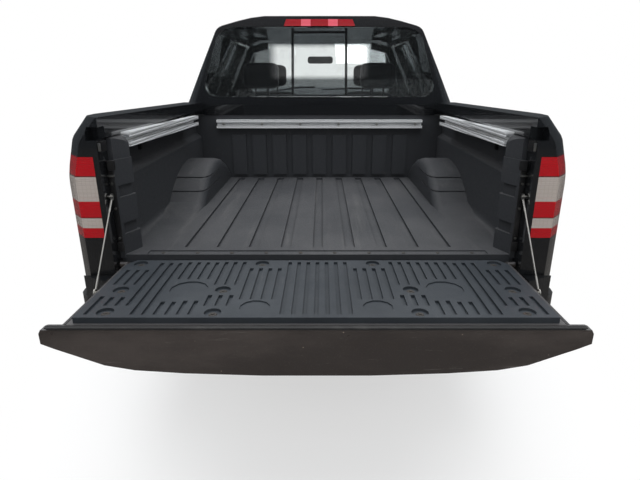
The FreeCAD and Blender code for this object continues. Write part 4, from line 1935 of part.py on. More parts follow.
def rim(y):
    """A right-hand rim: barrel, lips, spokes and the disc that bolts to the hub."""
    half = BEAD_WIDTH / 2 + RIM_LIP_START
    outer = BEAD_RADIUS - RIM_GAP
    inner = outer - RIM_WALL
    lip = BEAD_RADIUS + RIM_LIP
    right = [
        (WHEEL_X + half, outer),
        (WHEEL_X + half, lip),
        (WHEEL_X + half + RIM_LIP, lip),
        (WHEEL_X + half + RIM_LIP, inner),
    ]
    left = [(2 * WHEEL_X - x, r) for x, r in reversed(right)]
    pieces = [turned([*right, *left], y)]
    face = WHEEL_X + half - SPOKE_SETBACK
    spoke = Outline(
        [
            (y - SPOKE_ROOT_WIDTH / 2, TYRE_RADIUS + HUB_BORE_RADIUS),
            (y + SPOKE_ROOT_WIDTH / 2, TYRE_RADIUS + HUB_BORE_RADIUS),
            (y + SPOKE_TIP_WIDTH / 2, TYRE_RADIUS + inner + RIM_WALL / 3),
            (y - SPOKE_TIP_WIDTH / 2, TYRE_RADIUS + inner + RIM_WALL / 3),
        ]
    ).prism("x", face - SPOKE_DEPTH, face)
    for i in range(SPOKES):
        turned_spoke = spoke.copy()
        turned_spoke.rotate(Vector(WHEEL_X, y, TYRE_RADIUS), Vector(1, 0, 0), math.degrees(math.tau) * i / SPOKES)
        pieces.append(turned_spoke)
    pieces.append(cylinder("x", (WHEEL_X + HUB_FACE, y, TYRE_RADIUS), HUB_DISC_RADIUS, HUB_DISC_DEPTH))
    front = WHEEL_X + HUB_FACE + HUB_DISC_DEPTH
    socket = (front - HUB_SOCKET_DEPTH, y, TYRE_RADIUS)
    return fused(pieces).cut(faceted("x", socket, HUB_BORE_RADIUS, HUB_SOCKET_DEPTH + CUT_OVERRUN, RECESS_SIDES))


def lay_flat(wheel, y):
    """Turns a wheel's shape about an axle at x = 0 on to its side, at the spare's height."""
    wheel.rotate(Vector(0, y, TYRE_RADIUS), Vector(0, 1, 0), math.degrees(math.tau) / 4)
    wheel.translate(Vector(0, 0, SPARE_Z - TYRE_RADIUS))


def spare_tyre():
    shape = tyre(station(SPARE_S), 0)
    lay_flat(shape, station(SPARE_S))
    return shape


def spare_rim():
    """The spare's plain disc rim and the rod that holds it up under the frame."""
    y = station(SPARE_S)
    half = BEAD_WIDTH / 2
    outer = BEAD_RADIUS - RIM_GAP
    inner = outer - RIM_WALL
    ring = turned([(-half, inner), (-half, outer), (half, outer), (half, inner)], y)
    lay_flat(ring, y)
    disc = faceted("z", (0, y, SPARE_Z), outer - RIM_WALL / 2, RIM_WALL, WHEEL_SIDES)
    top = rail_under_at(y) + RAIL_HEIGHT / 6 - RUNNING_GAP
    hanger = faceted("z", (0, y, SPARE_Z), PIPE_RADIUS, top - SPARE_Z, MOUNT_SIDES)
    return fused([ring, disc, hanger])


def pipe_run(points):
    """A pipe along straight legs, each leg a little over-long so that they join."""
    pieces = []
    for start, end in zip(points, points[1:]):
        over = Vector(end - start).normalize() * (PIPE_RADIUS / 3)
        pieces.append(rod(start - over, end + over, PIPE_RADIUS))
    return pieces


def exhaust():
    y_front = FRONT_AXLE_Y - ENGINE_BEHIND_AXLE + PIPE_RADIUS * 2
    y_muffler = CAB_REAR_Y + MUFFLER_LENGTH
    over_axle = EXHAUST_Z + TAILPIPE_RISE
    points = [
        Vector(EXHAUST_X, y_front, ENGINE_BASE_Z - RUNNING_GAP - PIPE_RADIUS / 3),
        Vector(EXHAUST_X, y_front, EXHAUST_Z),
        Vector(EXHAUST_X, REAR_AXLE_Y + TAILPIPE_BEND, EXHAUST_Z),
        Vector(TAILPIPE_CROSS_X, REAR_AXLE_Y + RAIL_ARCH_FRONT_RUN, over_axle),
        Vector(TAILPIPE_CROSS_X, REAR_AXLE_Y - TAILPIPE_TURN, over_axle),
        Vector(TAILPIPE_END_X, REAR_AXLE_Y - TAILPIPE_TURN - TAILPIPE_SWEEP, over_axle),
    ]
    muffler = cylinder("y", (EXHAUST_X, y_muffler, EXHAUST_Z), MUFFLER_RADIUS, MUFFLER_LENGTH)
    bracket_y = y_muffler + MUFFLER_LENGTH / 2
    bracket = box(EXHAUST_X, RAIL_OUTER_X - RAIL_WIDTH - RUNNING_GAP, bracket_y, bracket_y + PIPE_RADIUS, EXHAUST_Z, EXHAUST_Z + PIPE_RADIUS)
    return fused([*pipe_run(points), muffler, bracket])


def fuel_tank():
    x1 = -TANK_INNER_X
    x0 = -RAIL_OUTER_X + RAIL_WIDTH + RUNNING_GAP
    return Outline(
        [
            (x0, TANK_UNDER_Z, MUFFLER_RADIUS / 2),
            (x1, TANK_UNDER_Z, MUFFLER_RADIUS / 2),
            (x1, TANK_UNDER_Z + TANK_HEIGHT, MUFFLER_RADIUS / 4),
            (x0, TANK_UNDER_Z + TANK_HEIGHT, MUFFLER_RADIUS / 4),
        ]
    ).prism("y", station(TANK_START), station(TANK_START + TANK_LENGTH))


def arch_liner(y, y_limit):
    """The right wheel arch liner: a band over the wheel, from the frame side out to the panel."""
    outer = ARCH_RADIUS - RUNNING_GAP
    layer_over = arch_round(y, outer).cut(arch_round(y, outer - ARCH_LINER_WALL))
    return layer_over.common(box(LINER_INNER_X, LINER_OUTER_X, y - WIDE, y_limit, TYRE_RADIUS + LINER_RISE, ROOF_Z))


def radiator():
    y0 = NOSE_Y - RADIATOR_SETBACK
    core = box(-RADIATOR_HALF_WIDTH, RADIATOR_HALF_WIDTH, y0, y0 + RADIATOR_DEPTH, RADIATOR_BASE_Z + RUNNING_GAP, RADIATOR_TOP_Z)
    return core


# Cabin


def seat(half_width, x, y0, heads):
    """A seat: riser, cushion, leaning back and headrests, in one piece."""
    cushion_z = CAB_FLOOR_Z + SEAT_RISER
    inset = SEAT_CUSHION / 3
    riser = box(x - half_width + inset, x + half_width - inset, y0 + inset, y0 + SEAT_LENGTH - inset, CAB_FLOOR_Z + RUNNING_GAP, cushion_z)
    cushion = Outline(
        [
            (y0, cushion_z),
            (y0 + SEAT_LENGTH, cushion_z, SEAT_CUSHION / 4),
            (y0 + SEAT_LENGTH, cushion_z + SEAT_CUSHION, SEAT_CUSHION / 3),
            (y0, cushion_z + SEAT_CUSHION - inset),
        ]
    ).prism("x", x - half_width, x + half_width)
    top = cushion_z + SEAT_BACK_HEIGHT
    back = Outline(
        [
            (y0, cushion_z, SEAT_CUSHION / 4),
            (y0 + SEAT_BACK_THICKNESS, cushion_z),
            (y0 + SEAT_BACK_THICKNESS - SEAT_BACK_LEAN, top, SEAT_CUSHION / 3),
            (y0 - SEAT_BACK_LEAN, top, SEAT_CUSHION / 4),
        ]
    ).prism("x", x - half_width, x + half_width)
    pieces = [riser, cushion, back]
    for head_x in heads:
        y1 = y0 - SEAT_BACK_LEAN
        neck = SEAT_BACK_THICKNESS / 3
        pieces.append(box(head_x - neck, head_x + neck, y1 + neck, y1 + 2 * neck, top - inset, top + HEADREST_GAP + inset))
        pieces.append(
            Outline(
                [
                    (y1, top + HEADREST_GAP, HEADREST_GAP),
                    (y1 + HEADREST_THICKNESS, top + HEADREST_GAP, HEADREST_GAP),
                    (y1 + HEADREST_THICKNESS - HEADREST_GAP, top + HEADREST_GAP + HEADREST_HEIGHT, HEADREST_GAP),
                    (y1, top + HEADREST_GAP + HEADREST_HEIGHT, HEADREST_GAP),
                ]
            ).prism("x", head_x - HEADREST_WIDTH / 2, head_x + HEADREST_WIDTH / 2)
        )
    return fused(pieces)


def dashboard():
    """The dashboard, centre console, steering column and steering wheel in one piece."""
    y1 = FIREWALL_Y - BODY_WALL - RUNNING_GAP
    top = COWL_Z - DASH_TOP_DROP
    dash = Outline(
        [
            (y1, top - DASH_HEIGHT),
            (y1, top),
            (y1 - DASH_DEPTH / 2, top, DASH_DEPTH / 6),
            (y1 - DASH_DEPTH, top - DASH_HEIGHT / 4, DASH_DEPTH / 6),
            (y1 - DASH_DEPTH * 3 / 4, top - DASH_HEIGHT, DASH_DEPTH / 6),
        ]
    ).prism("x", -DASH_HALF_WIDTH, DASH_HALF_WIDTH)
    console = Outline(
        [
            (y1, CAB_FLOOR_Z + RUNNING_GAP),
            (y1, top - DASH_HEIGHT + BODY_WALL),
            (y1 - DASH_DEPTH, top - DASH_HEIGHT + BODY_WALL / 2),
            (y1 - DASH_DEPTH * 3 / 2, CAB_FLOOR_Z + CONSOLE_HEIGHT, DASH_DEPTH / 3),
            (y1 - DASH_DEPTH - CONSOLE_LENGTH, CAB_FLOOR_Z + CONSOLE_HEIGHT, DASH_DEPTH / 6),
            (y1 - DASH_DEPTH - CONSOLE_LENGTH, CAB_FLOOR_Z + RUNNING_GAP),
        ]
    ).prism("x", -CONSOLE_HALF_WIDTH, CONSOLE_HALF_WIDTH)
    wheel_y = y1 - STEERING_AHEAD
    lean = math.degrees(math.atan2(STEERING_LEAN, DASH_DEPTH))
    centre = (-SEAT_CENTRE_X, wheel_y, STEERING_Z)
    ring = faceted("y", centre, WHEEL_RIM_RADIUS, WHEEL_RIM_THICKNESS, STEERING_SIDES)
    ring = ring.cut(faceted("y", centre, WHEEL_RIM_RADIUS - WHEEL_RIM_THICKNESS, WHEEL_RIM_THICKNESS, STEERING_SIDES))
    spokes = [
        box(-SEAT_CENTRE_X - WHEEL_RIM_RADIUS + WHEEL_RIM_THICKNESS / 2, -SEAT_CENTRE_X + WHEEL_RIM_RADIUS - WHEEL_RIM_THICKNESS / 2, wheel_y, wheel_y + WHEEL_RIM_THICKNESS, STEERING_Z - COLUMN_RADIUS, STEERING_Z + COLUMN_RADIUS),
        box(-SEAT_CENTRE_X - COLUMN_RADIUS, -SEAT_CENTRE_X + COLUMN_RADIUS, wheel_y, wheel_y + WHEEL_RIM_THICKNESS, STEERING_Z - WHEEL_RIM_RADIUS + WHEEL_RIM_THICKNESS / 2, STEERING_Z),
        faceted("y", centre, COLUMN_RADIUS, STEERING_AHEAD - DASH_DEPTH / 2, MOUNT_SIDES),
    ]
    wheel = fused([ring, *spokes])
    wheel.rotate(Vector(*centre), Vector(1, 0, 0), -lean)
    return fused([dash, console, wheel])


def save_pair(name, right):
    """Writes a right-hand sub-part and its mirror image as two sub-parts."""
    save(name + "_right", [right])
    save(name + "_left", [mirror_x(right)])


def main():
    os.makedirs("parts", exist_ok=True)
    save("frame", [frame()])
    save("powertrain", [powertrain()])
    save("rear_axle", [rear_axle()])
    save("front_suspension", both_sides(front_suspension()))
    save("exhaust", [exhaust()])
    save("fuel_tank", [fuel_tank()])
    save("spare_tyre", [spare_tyre()])
    save("spare_rim", [spare_rim()])
    save("radiator", [radiator()])

    save("cab", [cab()])
    save("windscreen", [windscreen()])
    save("rear_window", [rear_window()])
    save("brake_lamp", [brake_lamp()])
    save("dashboard", [dashboard()])
    front_seat_y = CAB_REAR_Y + FRONT_SEAT_FROM_REAR
    front = seat(SEAT_WIDTH / 2, SEAT_CENTRE_X, front_seat_y, [SEAT_CENTRE_X])
    save("front_seats", both_sides(front))
    rear_heads = [-SEAT_CENTRE_X, SEAT_CENTRE_X]
    save("rear_seat", [seat(REAR_SEAT_HALF_WIDTH, 0, CAB_REAR_Y + REAR_SEAT_FROM_REAR, rear_heads)])

    save("cargo_box", [cargo_box()])
    save("bed_sills", cross_sills())
    save("bed_sides", [*both_sides(bed_side()), bed_header()])
    save("tail_lamps", both_sides(tail_lamp()))
    save("utility_tracks", utility_tracks())
    save("cable_studs", cable_studs())
    save("rear_bumper", [rear_bumper()])
    save("hitch_receiver", [hitch_receiver()])

    save("front_fenders", both_sides(fender()))
    save("front_bumper", [front_bumper()])
    save("grille", [grille()])
    save("headlamps", both_sides(headlamp()))
    front_limit = NOSE_Y - BUMPER_REAR_SETBACK - PANEL_GAP
    rear_limit = BED_FRONT_Y - RUNNING_GAP
    front_liner = arch_liner(FRONT_AXLE_Y, front_limit)
    rear_liner = arch_liner(REAR_AXLE_Y, rear_limit)
    save("front_arch_liners", both_sides(front_liner))
    save("rear_arch_liners", both_sides(rear_liner))

    save("hood", [hood()])
    save_pair("front_door", door(front_door_outline(), front_window_outline()))
    save_pair("rear_door", door(rear_door_outline(), rear_window_outline()))
    save_pair("front_glass", door_glass(front_window_outline()))
    save_pair("rear_glass", door_glass(rear_window_outline()))
    save_pair("mirror", mirror())
    save("tailgate", [tailgate()])
    save("tailgate_liner", [tailgate_liner()])
    save_pair("tailgate_cable", cable())

    save_pair("knuckle", knuckle())
    save_pair("front_tyre", tyre(FRONT_AXLE_Y))
    save_pair("front_rim", rim(FRONT_AXLE_Y))
    save_pair("rear_tyre", tyre(REAR_AXLE_Y))
    save_pair("rear_rim", rim(REAR_AXLE_Y))


main()
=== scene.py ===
"""The pickup truck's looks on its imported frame: materials, tyre treads, seats, trim and small fittings."""

import math

import bmesh
import bpy
from mathutils import Matrix, Vector


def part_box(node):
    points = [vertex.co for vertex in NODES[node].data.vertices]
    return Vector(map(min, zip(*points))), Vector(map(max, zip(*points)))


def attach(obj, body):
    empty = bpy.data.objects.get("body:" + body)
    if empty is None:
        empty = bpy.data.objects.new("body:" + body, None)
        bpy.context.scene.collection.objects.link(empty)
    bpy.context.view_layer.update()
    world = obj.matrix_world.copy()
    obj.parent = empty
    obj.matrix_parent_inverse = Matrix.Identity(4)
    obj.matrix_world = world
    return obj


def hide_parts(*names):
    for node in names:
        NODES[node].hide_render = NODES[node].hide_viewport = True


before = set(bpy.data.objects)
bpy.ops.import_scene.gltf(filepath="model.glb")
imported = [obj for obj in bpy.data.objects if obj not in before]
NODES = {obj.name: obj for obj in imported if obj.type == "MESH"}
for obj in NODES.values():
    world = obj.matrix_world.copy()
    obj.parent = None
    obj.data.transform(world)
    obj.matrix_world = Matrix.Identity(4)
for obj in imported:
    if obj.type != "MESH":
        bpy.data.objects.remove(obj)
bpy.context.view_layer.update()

BED_REAR = -2.3975
UP, DOWN = (0, 0, 1), (0, 0, -1)
FORWARDS, REARWARDS = (0, 1, 0), (0, -1, 0)
CREASE_ANGLE = 35


# Camera, light and floor

CAMERA_PLACE = (0.016, BED_REAR - 1.625, 1.465)
CAMERA_DIP = 18.86
CAMERA_LENS = 27.17
CAMERA_SENSOR = 36.0
CAMERA_SHIFT = -0.003
FLOOR_SIZE = 120
FLOOR_DROP = 0.0005
SHADOW_REACH = (1.5, 3.5)
SIDE_SHADE = (0.045, 0.05, 0.055)


def set_view():
    scene = bpy.context.scene
    camera = bpy.data.objects.new("camera", bpy.data.cameras.new("camera"))
    scene.collection.objects.link(camera)
    camera.location = CAMERA_PLACE
    camera.rotation_euler = (math.radians(90 - CAMERA_DIP), 0, 0)
    camera.data.lens = CAMERA_LENS
    camera.data.sensor_width = CAMERA_SENSOR
    camera.data.shift_x = CAMERA_SHIFT
    camera.data.clip_start = 0.05
    camera.data.clip_end = 200.0
    scene.camera = camera
    scene.view_settings.view_transform = "Standard"


def area_light(name, place, aim, size, power, colour=(1, 1, 1), glossy=False):
    data = bpy.data.lights.new(name, "AREA")
    data.shape = "RECTANGLE"
    data.size, data.size_y = size
    data.energy = power
    data.color = colour
    lamp = bpy.data.objects.new(name, data)
    bpy.context.scene.collection.objects.link(lamp)
    lamp.location = place
    lamp.rotation_euler = (Vector(aim) - Vector(place)).to_track_quat("-Z", "Y").to_euler()
    lamp.visible_glossy = glossy
    return lamp


def show_white(nodes, links, shader, white):
    """Mixes in a plain white emission for what the camera, gloss and glass see."""
    path = nodes.new("ShaderNodeLightPath")
    glossy = nodes.new("ShaderNodeMath")
    glossy.operation = "MAXIMUM"
    links.new(path.outputs["Is Camera Ray"], glossy.inputs[0])
    links.new(path.outputs["Is Transmission Ray"], glossy.inputs[1])
    shiny = nodes.new("ShaderNodeMath")
    shiny.operation = "MAXIMUM"
    links.new(glossy.outputs[0], shiny.inputs[0])
    links.new(path.outputs["Is Glossy Ray"], shiny.inputs[1])
    mix = nodes.new("ShaderNodeMixShader")
    links.new(shiny.outputs[0], mix.inputs[0])
    links.new(shader, mix.inputs[1])
    links.new(white, mix.inputs[2])
    return mix.outputs[0]


def set_world():
    world = bpy.data.worlds.new("studio")
    bpy.context.scene.world = world
    world.use_nodes = True
    nodes, links = world.node_tree.nodes, world.node_tree.links
    nodes.clear()
    coordinates = nodes.new("ShaderNodeTexCoord")
    split = nodes.new("ShaderNodeSeparateXYZ")
    links.new(coordinates.outputs["Generated"], split.inputs[0])
    ramp = nodes.new("ShaderNodeValToRGB")
    ramp.color_ramp.elements[0].position = 0.44
    ramp.color_ramp.elements[0].color = (0.32, 0.29, 0.26, 1)
    ramp.color_ramp.elements[1].position = 0.56
    ramp.color_ramp.elements[1].color = (0.86, 0.9, 0.96, 1)
    links.new(split.outputs["Z"], ramp.inputs[0])
    sky = nodes.new("ShaderNodeBackground")
    sky.inputs["Strength"].default_value = 0.75
    links.new(ramp.outputs[0], sky.inputs["Color"])
    white = nodes.new("ShaderNodeBackground")
    white.inputs["Color"].default_value = (1, 1, 1, 1)
    white.inputs["Strength"].default_value = 1.0
    out = nodes.new("ShaderNodeOutputWorld")
    links.new(show_white(nodes, links, sky.outputs[0], white.outputs[0]), out.inputs["Surface"])


def set_floor():
    """A white floor: plain white far off, and with the object's soft shadow near it."""
    bpy.ops.mesh.primitive_plane_add(size=FLOOR_SIZE, location=(0, 0, -FLOOR_DROP))
    floor = bpy.context.object
    floor.name = "floor"
    material = bpy.data.materials.new("floor")
    material.use_nodes = True
    nodes, links = material.node_tree.nodes, material.node_tree.links
    surface = nodes["Principled BSDF"]
    surface.inputs["Base Color"].default_value = (0.9, 0.9, 0.895, 1)
    surface.inputs["Roughness"].default_value = 0.85
    surface.inputs["Specular IOR Level"].default_value = 0.2
    white = nodes.new("ShaderNodeEmission")
    place = nodes.new("ShaderNodeTexCoord")
    flat = nodes.new("ShaderNodeMapping")
    flat.inputs["Scale"].default_value = (1 / SHADOW_REACH[0], 1 / SHADOW_REACH[1], 0)
    links.new(place.outputs["Object"], flat.inputs["Vector"])
    away = nodes.new("ShaderNodeVectorMath")
    away.operation = "LENGTH"
    links.new(flat.outputs[0], away.inputs[0])
    ramp = nodes.new("ShaderNodeMapRange")
    ramp.interpolation_type = "SMOOTHSTEP"
    for socket, value in (("From Min", 0.7), ("From Max", 1.15), ("To Min", 0.58), ("To Max", 1.0)):
        ramp.inputs[socket].default_value = value
    links.new(away.outputs["Value"], ramp.inputs["Value"])
    path = nodes.new("ShaderNodeLightPath")
    share = nodes.new("ShaderNodeMath")
    share.operation = "MULTIPLY"
    links.new(ramp.outputs[0], share.inputs[0])
    links.new(path.outputs["Is Camera Ray"], share.inputs[1])
    mix = nodes.new("ShaderNodeMixShader")
    links.new(share.outputs[0], mix.inputs[0])
    links.new(surface.outputs[0], mix.inputs[1])
    links.new(white.outputs[0], mix.inputs[2])
    links.new(mix.outputs[0], nodes["Material Output"].inputs["Surface"])
    floor.data.materials.append(material)


def set_flag(name, place, turn, size, shade):
    """A dark screen outside the picture, which only the gloss of the paint and glass sees."""
    bpy.ops.mesh.primitive_plane_add(size=1, location=place, rotation=[math.radians(a) for a in turn])
    flag = bpy.context.object
    flag.name = name
    flag.scale = (size[0], size[1], 1)
    material = bpy.data.materials.new(name)
    material.use_nodes = True
    material.node_tree.nodes.clear()
    glow = material.node_tree.nodes.new("ShaderNodeEmission")
    glow.inputs["Color"].default_value = (*shade, 1)
    out = material.node_tree.nodes.new("ShaderNodeOutputMaterial")
    material.node_tree.links.new(glow.outputs[0], out.inputs["Surface"])
    flag.data.materials.append(material)
    flag.visible_camera = False
    flag.visible_diffuse = False
    flag.visible_transmission = False
    flag.visible_shadow = False


set_view()
set_world()
area_light("sky_panel", (0, -0.6, 6.2), (0, -0.4, 0.8), (7.5, 9.5), 470, (0.95, 0.98, 1.0))
area_light("rear_fill", (0.5, -7.5, 3.4), (0, -2.2, 0.9), (6.0, 3.0), 120)
area_light("side_fill", (-7.5, 0.0, 3.0), (0, -0.5, 0.8), (3.0, 7.0), 90)
area_light("front_fill", (3.0, 8.5, 3.2), (0, 1.5, 0.8), (6.0, 3.0), 110)
area_light("edge_strip_left", (-3.4, -1.4, 3.9), (-0.8, -1.4, 1.2), (0.5, 5.0), 26, glossy=True)
area_light("edge_strip_right", (3.4, -1.4, 3.9), (0.8, -1.4, 1.2), (0.5, 5.0), 26, glossy=True)
set_flag("flag_left", (-9, 0, 3.6), (0, 90, 0), (9, 22), SIDE_SHADE)
set_flag("flag_right", (9, 0, 3.6), (0, 90, 0), (9, 22), SIDE_SHADE)
set_flag("flag_rear", (0, -11, 4.6), (90, 0, 0), (20, 10), (0.05, 0.058, 0.066))
set_flag("flag_front", (0, 12, 4.0), (90, 0, 0), (20, 8), (0.06, 0.065, 0.07))
# A dark sheet just over the floor that only gloss sees: a painted dark reflection of the ground in the paint
# and glass.
set_flag("floor_reflection_flag", (0, 0, -0.0002), (0, 0, 0), (34, 34), (0.10, 0.096, 0.092))
set_floor()


# Materials


class Surface:
    """A procedural material: a Principled shader with its textures in the part's own coordinates."""

    def __init__(self, name, colour, roughness, metallic=0.0, **sockets):
        self.material = bpy.data.materials.new(name)
        self.material.use_nodes = True
        self.nodes = self.material.node_tree.nodes
        self.links = self.material.node_tree.links
        self.shader = self.nodes["Principled BSDF"]
        self.shader.inputs["Base Color"].default_value = (*colour, 1)
        self.shader.inputs["Roughness"].default_value = roughness
        self.shader.inputs["Metallic"].default_value = metallic
        for socket, value in sockets.items():
            self.shader.inputs[socket.replace("_", " ")].default_value = value
        self.place = self.nodes.new("ShaderNodeTexCoord").outputs["Object"]
        self.height = None

    def stretched(self, scale):
        mapping = self.nodes.new("ShaderNodeMapping")
        mapping.inputs["Scale"].default_value = scale
        self.links.new(self.place, mapping.inputs["Vector"])
        return mapping.outputs[0]

    def noise(self, scale, detail=4.0, roughness=0.55, stretch=None, distortion=0.0):
        texture = self.nodes.new("ShaderNodeTexNoise")
        texture.inputs["Scale"].default_value = scale
        texture.inputs["Detail"].default_value = detail
        texture.inputs["Roughness"].default_value = roughness
        texture.inputs["Distortion"].default_value = distortion
        self.links.new(self.stretched(stretch) if stretch else self.place, texture.inputs["Vector"])
        return texture.outputs["Fac"]

    def voronoi(self, scale, feature="F1", randomness=1.0):
        texture = self.nodes.new("ShaderNodeTexVoronoi")
        texture.feature = feature
        texture.inputs["Scale"].default_value = scale
        texture.inputs["Randomness"].default_value = randomness
        self.links.new(self.place, texture.inputs["Vector"])
        return texture.outputs["Distance"]

    def wave(self, scale, direction, distortion=0.0):
        texture = self.nodes.new("ShaderNodeTexWave")
        texture.bands_direction = direction
        texture.inputs["Scale"].default_value = scale
        texture.inputs["Distortion"].default_value = distortion
        self.links.new(self.place, texture.inputs["Vector"])
        return texture.outputs["Fac"]

    def axis(self, name):
        split = self.nodes.new("ShaderNodeSeparateXYZ")
        self.links.new(self.place, split.inputs[0])
        return split.outputs[name]

    def facing(self, name):
        coordinates = self.nodes.new("ShaderNodeTexCoord")
        split = self.nodes.new("ShaderNodeSeparateXYZ")
        self.links.new(coordinates.outputs["Normal"], split.inputs[0])
        return split.outputs[name]

    def ramp(self, source, low, high, low_value=0.0, high_value=1.0):
        node = self.nodes.new("ShaderNodeMapRange")
        node.interpolation_type = "SMOOTHSTEP"
        node.inputs["From Min"].default_value = low
        node.inputs["From Max"].default_value = high
        node.inputs["To Min"].default_value = low_value
        node.inputs["To Max"].default_value = high_value
        self.links.new(source, node.inputs["Value"])
        return node.outputs[0]

    def maths(self, operation, first, second=None):
        node = self.nodes.new("ShaderNodeMath")
        node.operation = operation
        for index, value in enumerate((first, second)):
            if value is None:
                continue
            if isinstance(value, (int, float)):
                node.inputs[index].default_value = value
            else:
                self.links.new(value, node.inputs[index])
        return node.outputs[0]

    def tint(self, mask, colour, amount=1.0):
        """Lays a colour over what the surface has so far, where the mask is 1."""
        mix = self.nodes.new("ShaderNodeMix")
        mix.data_type = "RGBA"
        base = self.shader.inputs["Base Color"]
        if base.is_linked:
            self.links.new(base.links[0].from_socket, mix.inputs[6])
        else:
            mix.inputs[6].default_value = base.default_value[:]
        mix.inputs[7].default_value = (*colour, 1)
        self.links.new(self.maths("MULTIPLY", mask, amount), mix.inputs[0])
        self.links.new(mix.outputs[2], base)
        return self

    def shine(self, mask, low, high):
        """Roughness from low, where the mask is 0, to high, where it is 1."""
        self.links.new(self.ramp(mask, 0.0, 1.0, low, high), self.shader.inputs["Roughness"])
        return self

    def bump(self, source, distance, strength=1.0):
        node = self.nodes.new("ShaderNodeBump")
        node.inputs["Distance"].default_value = distance
        node.inputs["Strength"].default_value = strength
        self.links.new(source, node.inputs["Height"])
        if self.height is not None:
            self.links.new(self.height, node.inputs["Normal"])
        self.height = node.outputs[0]
        self.links.new(self.height, self.shader.inputs["Normal"])
        return self

    def emit(self, colour, strength):
        self.shader.inputs["Emission Color"].default_value = (*colour, 1)
        self.shader.inputs["Emission Strength"].default_value = strength
        return self


def paint_surface():
    s = Surface("black_paint", (0.006, 0.0065, 0.0075), 0.22, 0.0, Coat_Weight=1.0, Coat_Roughness=0.03)
    flakes = s.voronoi(2600)
    s.tint(s.ramp(flakes, 0.1, 0.0), (0.03, 0.033, 0.038), 0.5)
    # Lower panels tinted brown: partly road dust, partly a painted reflection of the brown ground in the
    # paint.
    dust = s.maths("MULTIPLY", s.ramp(s.noise(3.2, 6, 0.6), 0.42, 0.7), s.ramp(s.axis("Z"), 0.95, 0.45))
    s.tint(dust, (0.10, 0.088, 0.074), 0.30)
    s.bump(s.noise(260, 2), 0.00004, 0.25)
    return s.material


def textured_plastic(name, colour, roughness, grain=900, depth=0.00025, dust=(0.2, 0.19, 0.175), amount=0.25):
    s = Surface(name, colour, roughness, Specular_IOR_Level=0.4)
    s.tint(s.ramp(s.noise(6.5, 6, 0.62), 0.45, 0.75), dust, amount)
    s.tint(s.ramp(s.noise(90, 4, 0.7), 0.6, 0.8), dust, amount * 0.6)
    s.bump(s.voronoi(grain), depth, 0.6)
    s.bump(s.noise(grain * 0.4, 3), depth * 1.5, 0.4)
    s.shine(s.noise(14, 4), roughness - 0.08, roughness + 0.14)
    return s.material


def bed_surface():
    s = Surface("bed_coating", (0.028, 0.030, 0.034), 0.6, Specular_IOR_Level=0.45)
    # flat marks the up-facing faces: they are painted lighter as painted light from the sky above, and the
    # wear and streaks are kept to them too.
    flat = s.ramp(s.facing("Z"), 0.6, 0.95)
    wear = s.ramp(s.noise(2.1, 7, 0.62), 0.35, 0.7)
    s.tint(s.maths("MULTIPLY", flat, wear), (0.068, 0.068, 0.071), 0.8)
    s.tint(flat, (0.045, 0.045, 0.048), 0.35)
    s.tint(s.ramp(s.noise(34, 5, 0.75), 0.57, 0.75), (0.075, 0.073, 0.07), 0.3)
    streaks = s.maths("MULTIPLY", s.ramp(s.noise(22, 5, 0.7, (1.0, 0.06, 1.0)), 0.52, 0.75), flat)
    s.tint(streaks, (0.10, 0.098, 0.096), 0.4)
    s.bump(s.voronoi(420, "SMOOTH_F1"), 0.0011, 0.7)
    s.bump(s.noise(190, 5, 0.6), 0.0012, 0.6)
    s.shine(s.noise(160, 3), 0.5, 0.78)
    return s.material


def liner_surface():
    s = Surface("liner_plastic", (0.024, 0.0285, 0.034), 0.42, Specular_IOR_Level=0.4)
    s.tint(s.ramp(s.noise(2.6, 6, 0.6), 0.4, 0.72), (0.042, 0.048, 0.055), 0.6)
    scratches = s.ramp(s.noise(60, 4, 0.8, (1.0, 0.05, 1.0), 1.2), 0.63, 0.7)
    s.tint(scratches, (0.085, 0.088, 0.092), 0.3)
    s.tint(s.ramp(s.noise(45, 6, 0.75), 0.62, 0.8), (0.075, 0.074, 0.07), 0.35)
    s.tint(s.ramp(s.noise(300, 4, 0.75), 0.55, 0.72), (0.075, 0.08, 0.086), 0.4)
    s.bump(s.voronoi(1300), 0.0002, 0.5)
    s.shine(s.noise(11, 5), 0.36, 0.6)
    return s.material


def lip_surface():
    finish = {"Coat_Weight": 0.25, "Coat_Roughness": 0.2, "Specular_IOR_Level": 0.3}
    s = Surface("tailgate_paint", (0.030, 0.0245, 0.022), 0.32, **finish)
    haze = s.ramp(s.noise(5, 6, 0.65, (0.5, 1.0, 1.6)), 0.38, 0.72)
    s.tint(haze, (0.055, 0.045, 0.040), 0.8)
    hairs = s.ramp(s.noise(50, 5, 0.85, (0.12, 1.0, 2.2), 0.6), 0.63, 0.68)
    s.tint(hairs, (0.12, 0.108, 0.10), 0.6)
    s.tint(s.ramp(s.noise(240, 5, 0.75), 0.55, 0.75), (0.10, 0.088, 0.08), 0.4)
    # Up-facing faces painted lighter: a painted sky highlight on the lip's top.
    s.tint(s.ramp(s.facing("Z"), 0.35, 0.85), (0.085, 0.085, 0.088), 0.7)
    chips = s.ramp(s.voronoi(24), 0.05, 0.03)
    s.tint(chips, (0.24, 0.19, 0.15), 0.7)
    s.bump(s.noise(330, 4, 0.7), 0.0003, 0.5)
    s.shine(s.noise(18, 6, 0.7), 0.22, 0.45)
    return s.material


def metal_surface(name, colour, roughness, scale, spot, amount):
    s = Surface(name, colour, roughness, 1.0)
    s.tint(s.ramp(s.noise(9, 6, 0.65), 0.5, 0.78), spot, amount)
    s.bump(s.noise(scale, 3, 0.6), 0.00012, 0.5)
    s.shine(s.noise(scale, 4, 0.6), max(roughness - 0.1, 0.03), roughness + 0.14)
    return s.material


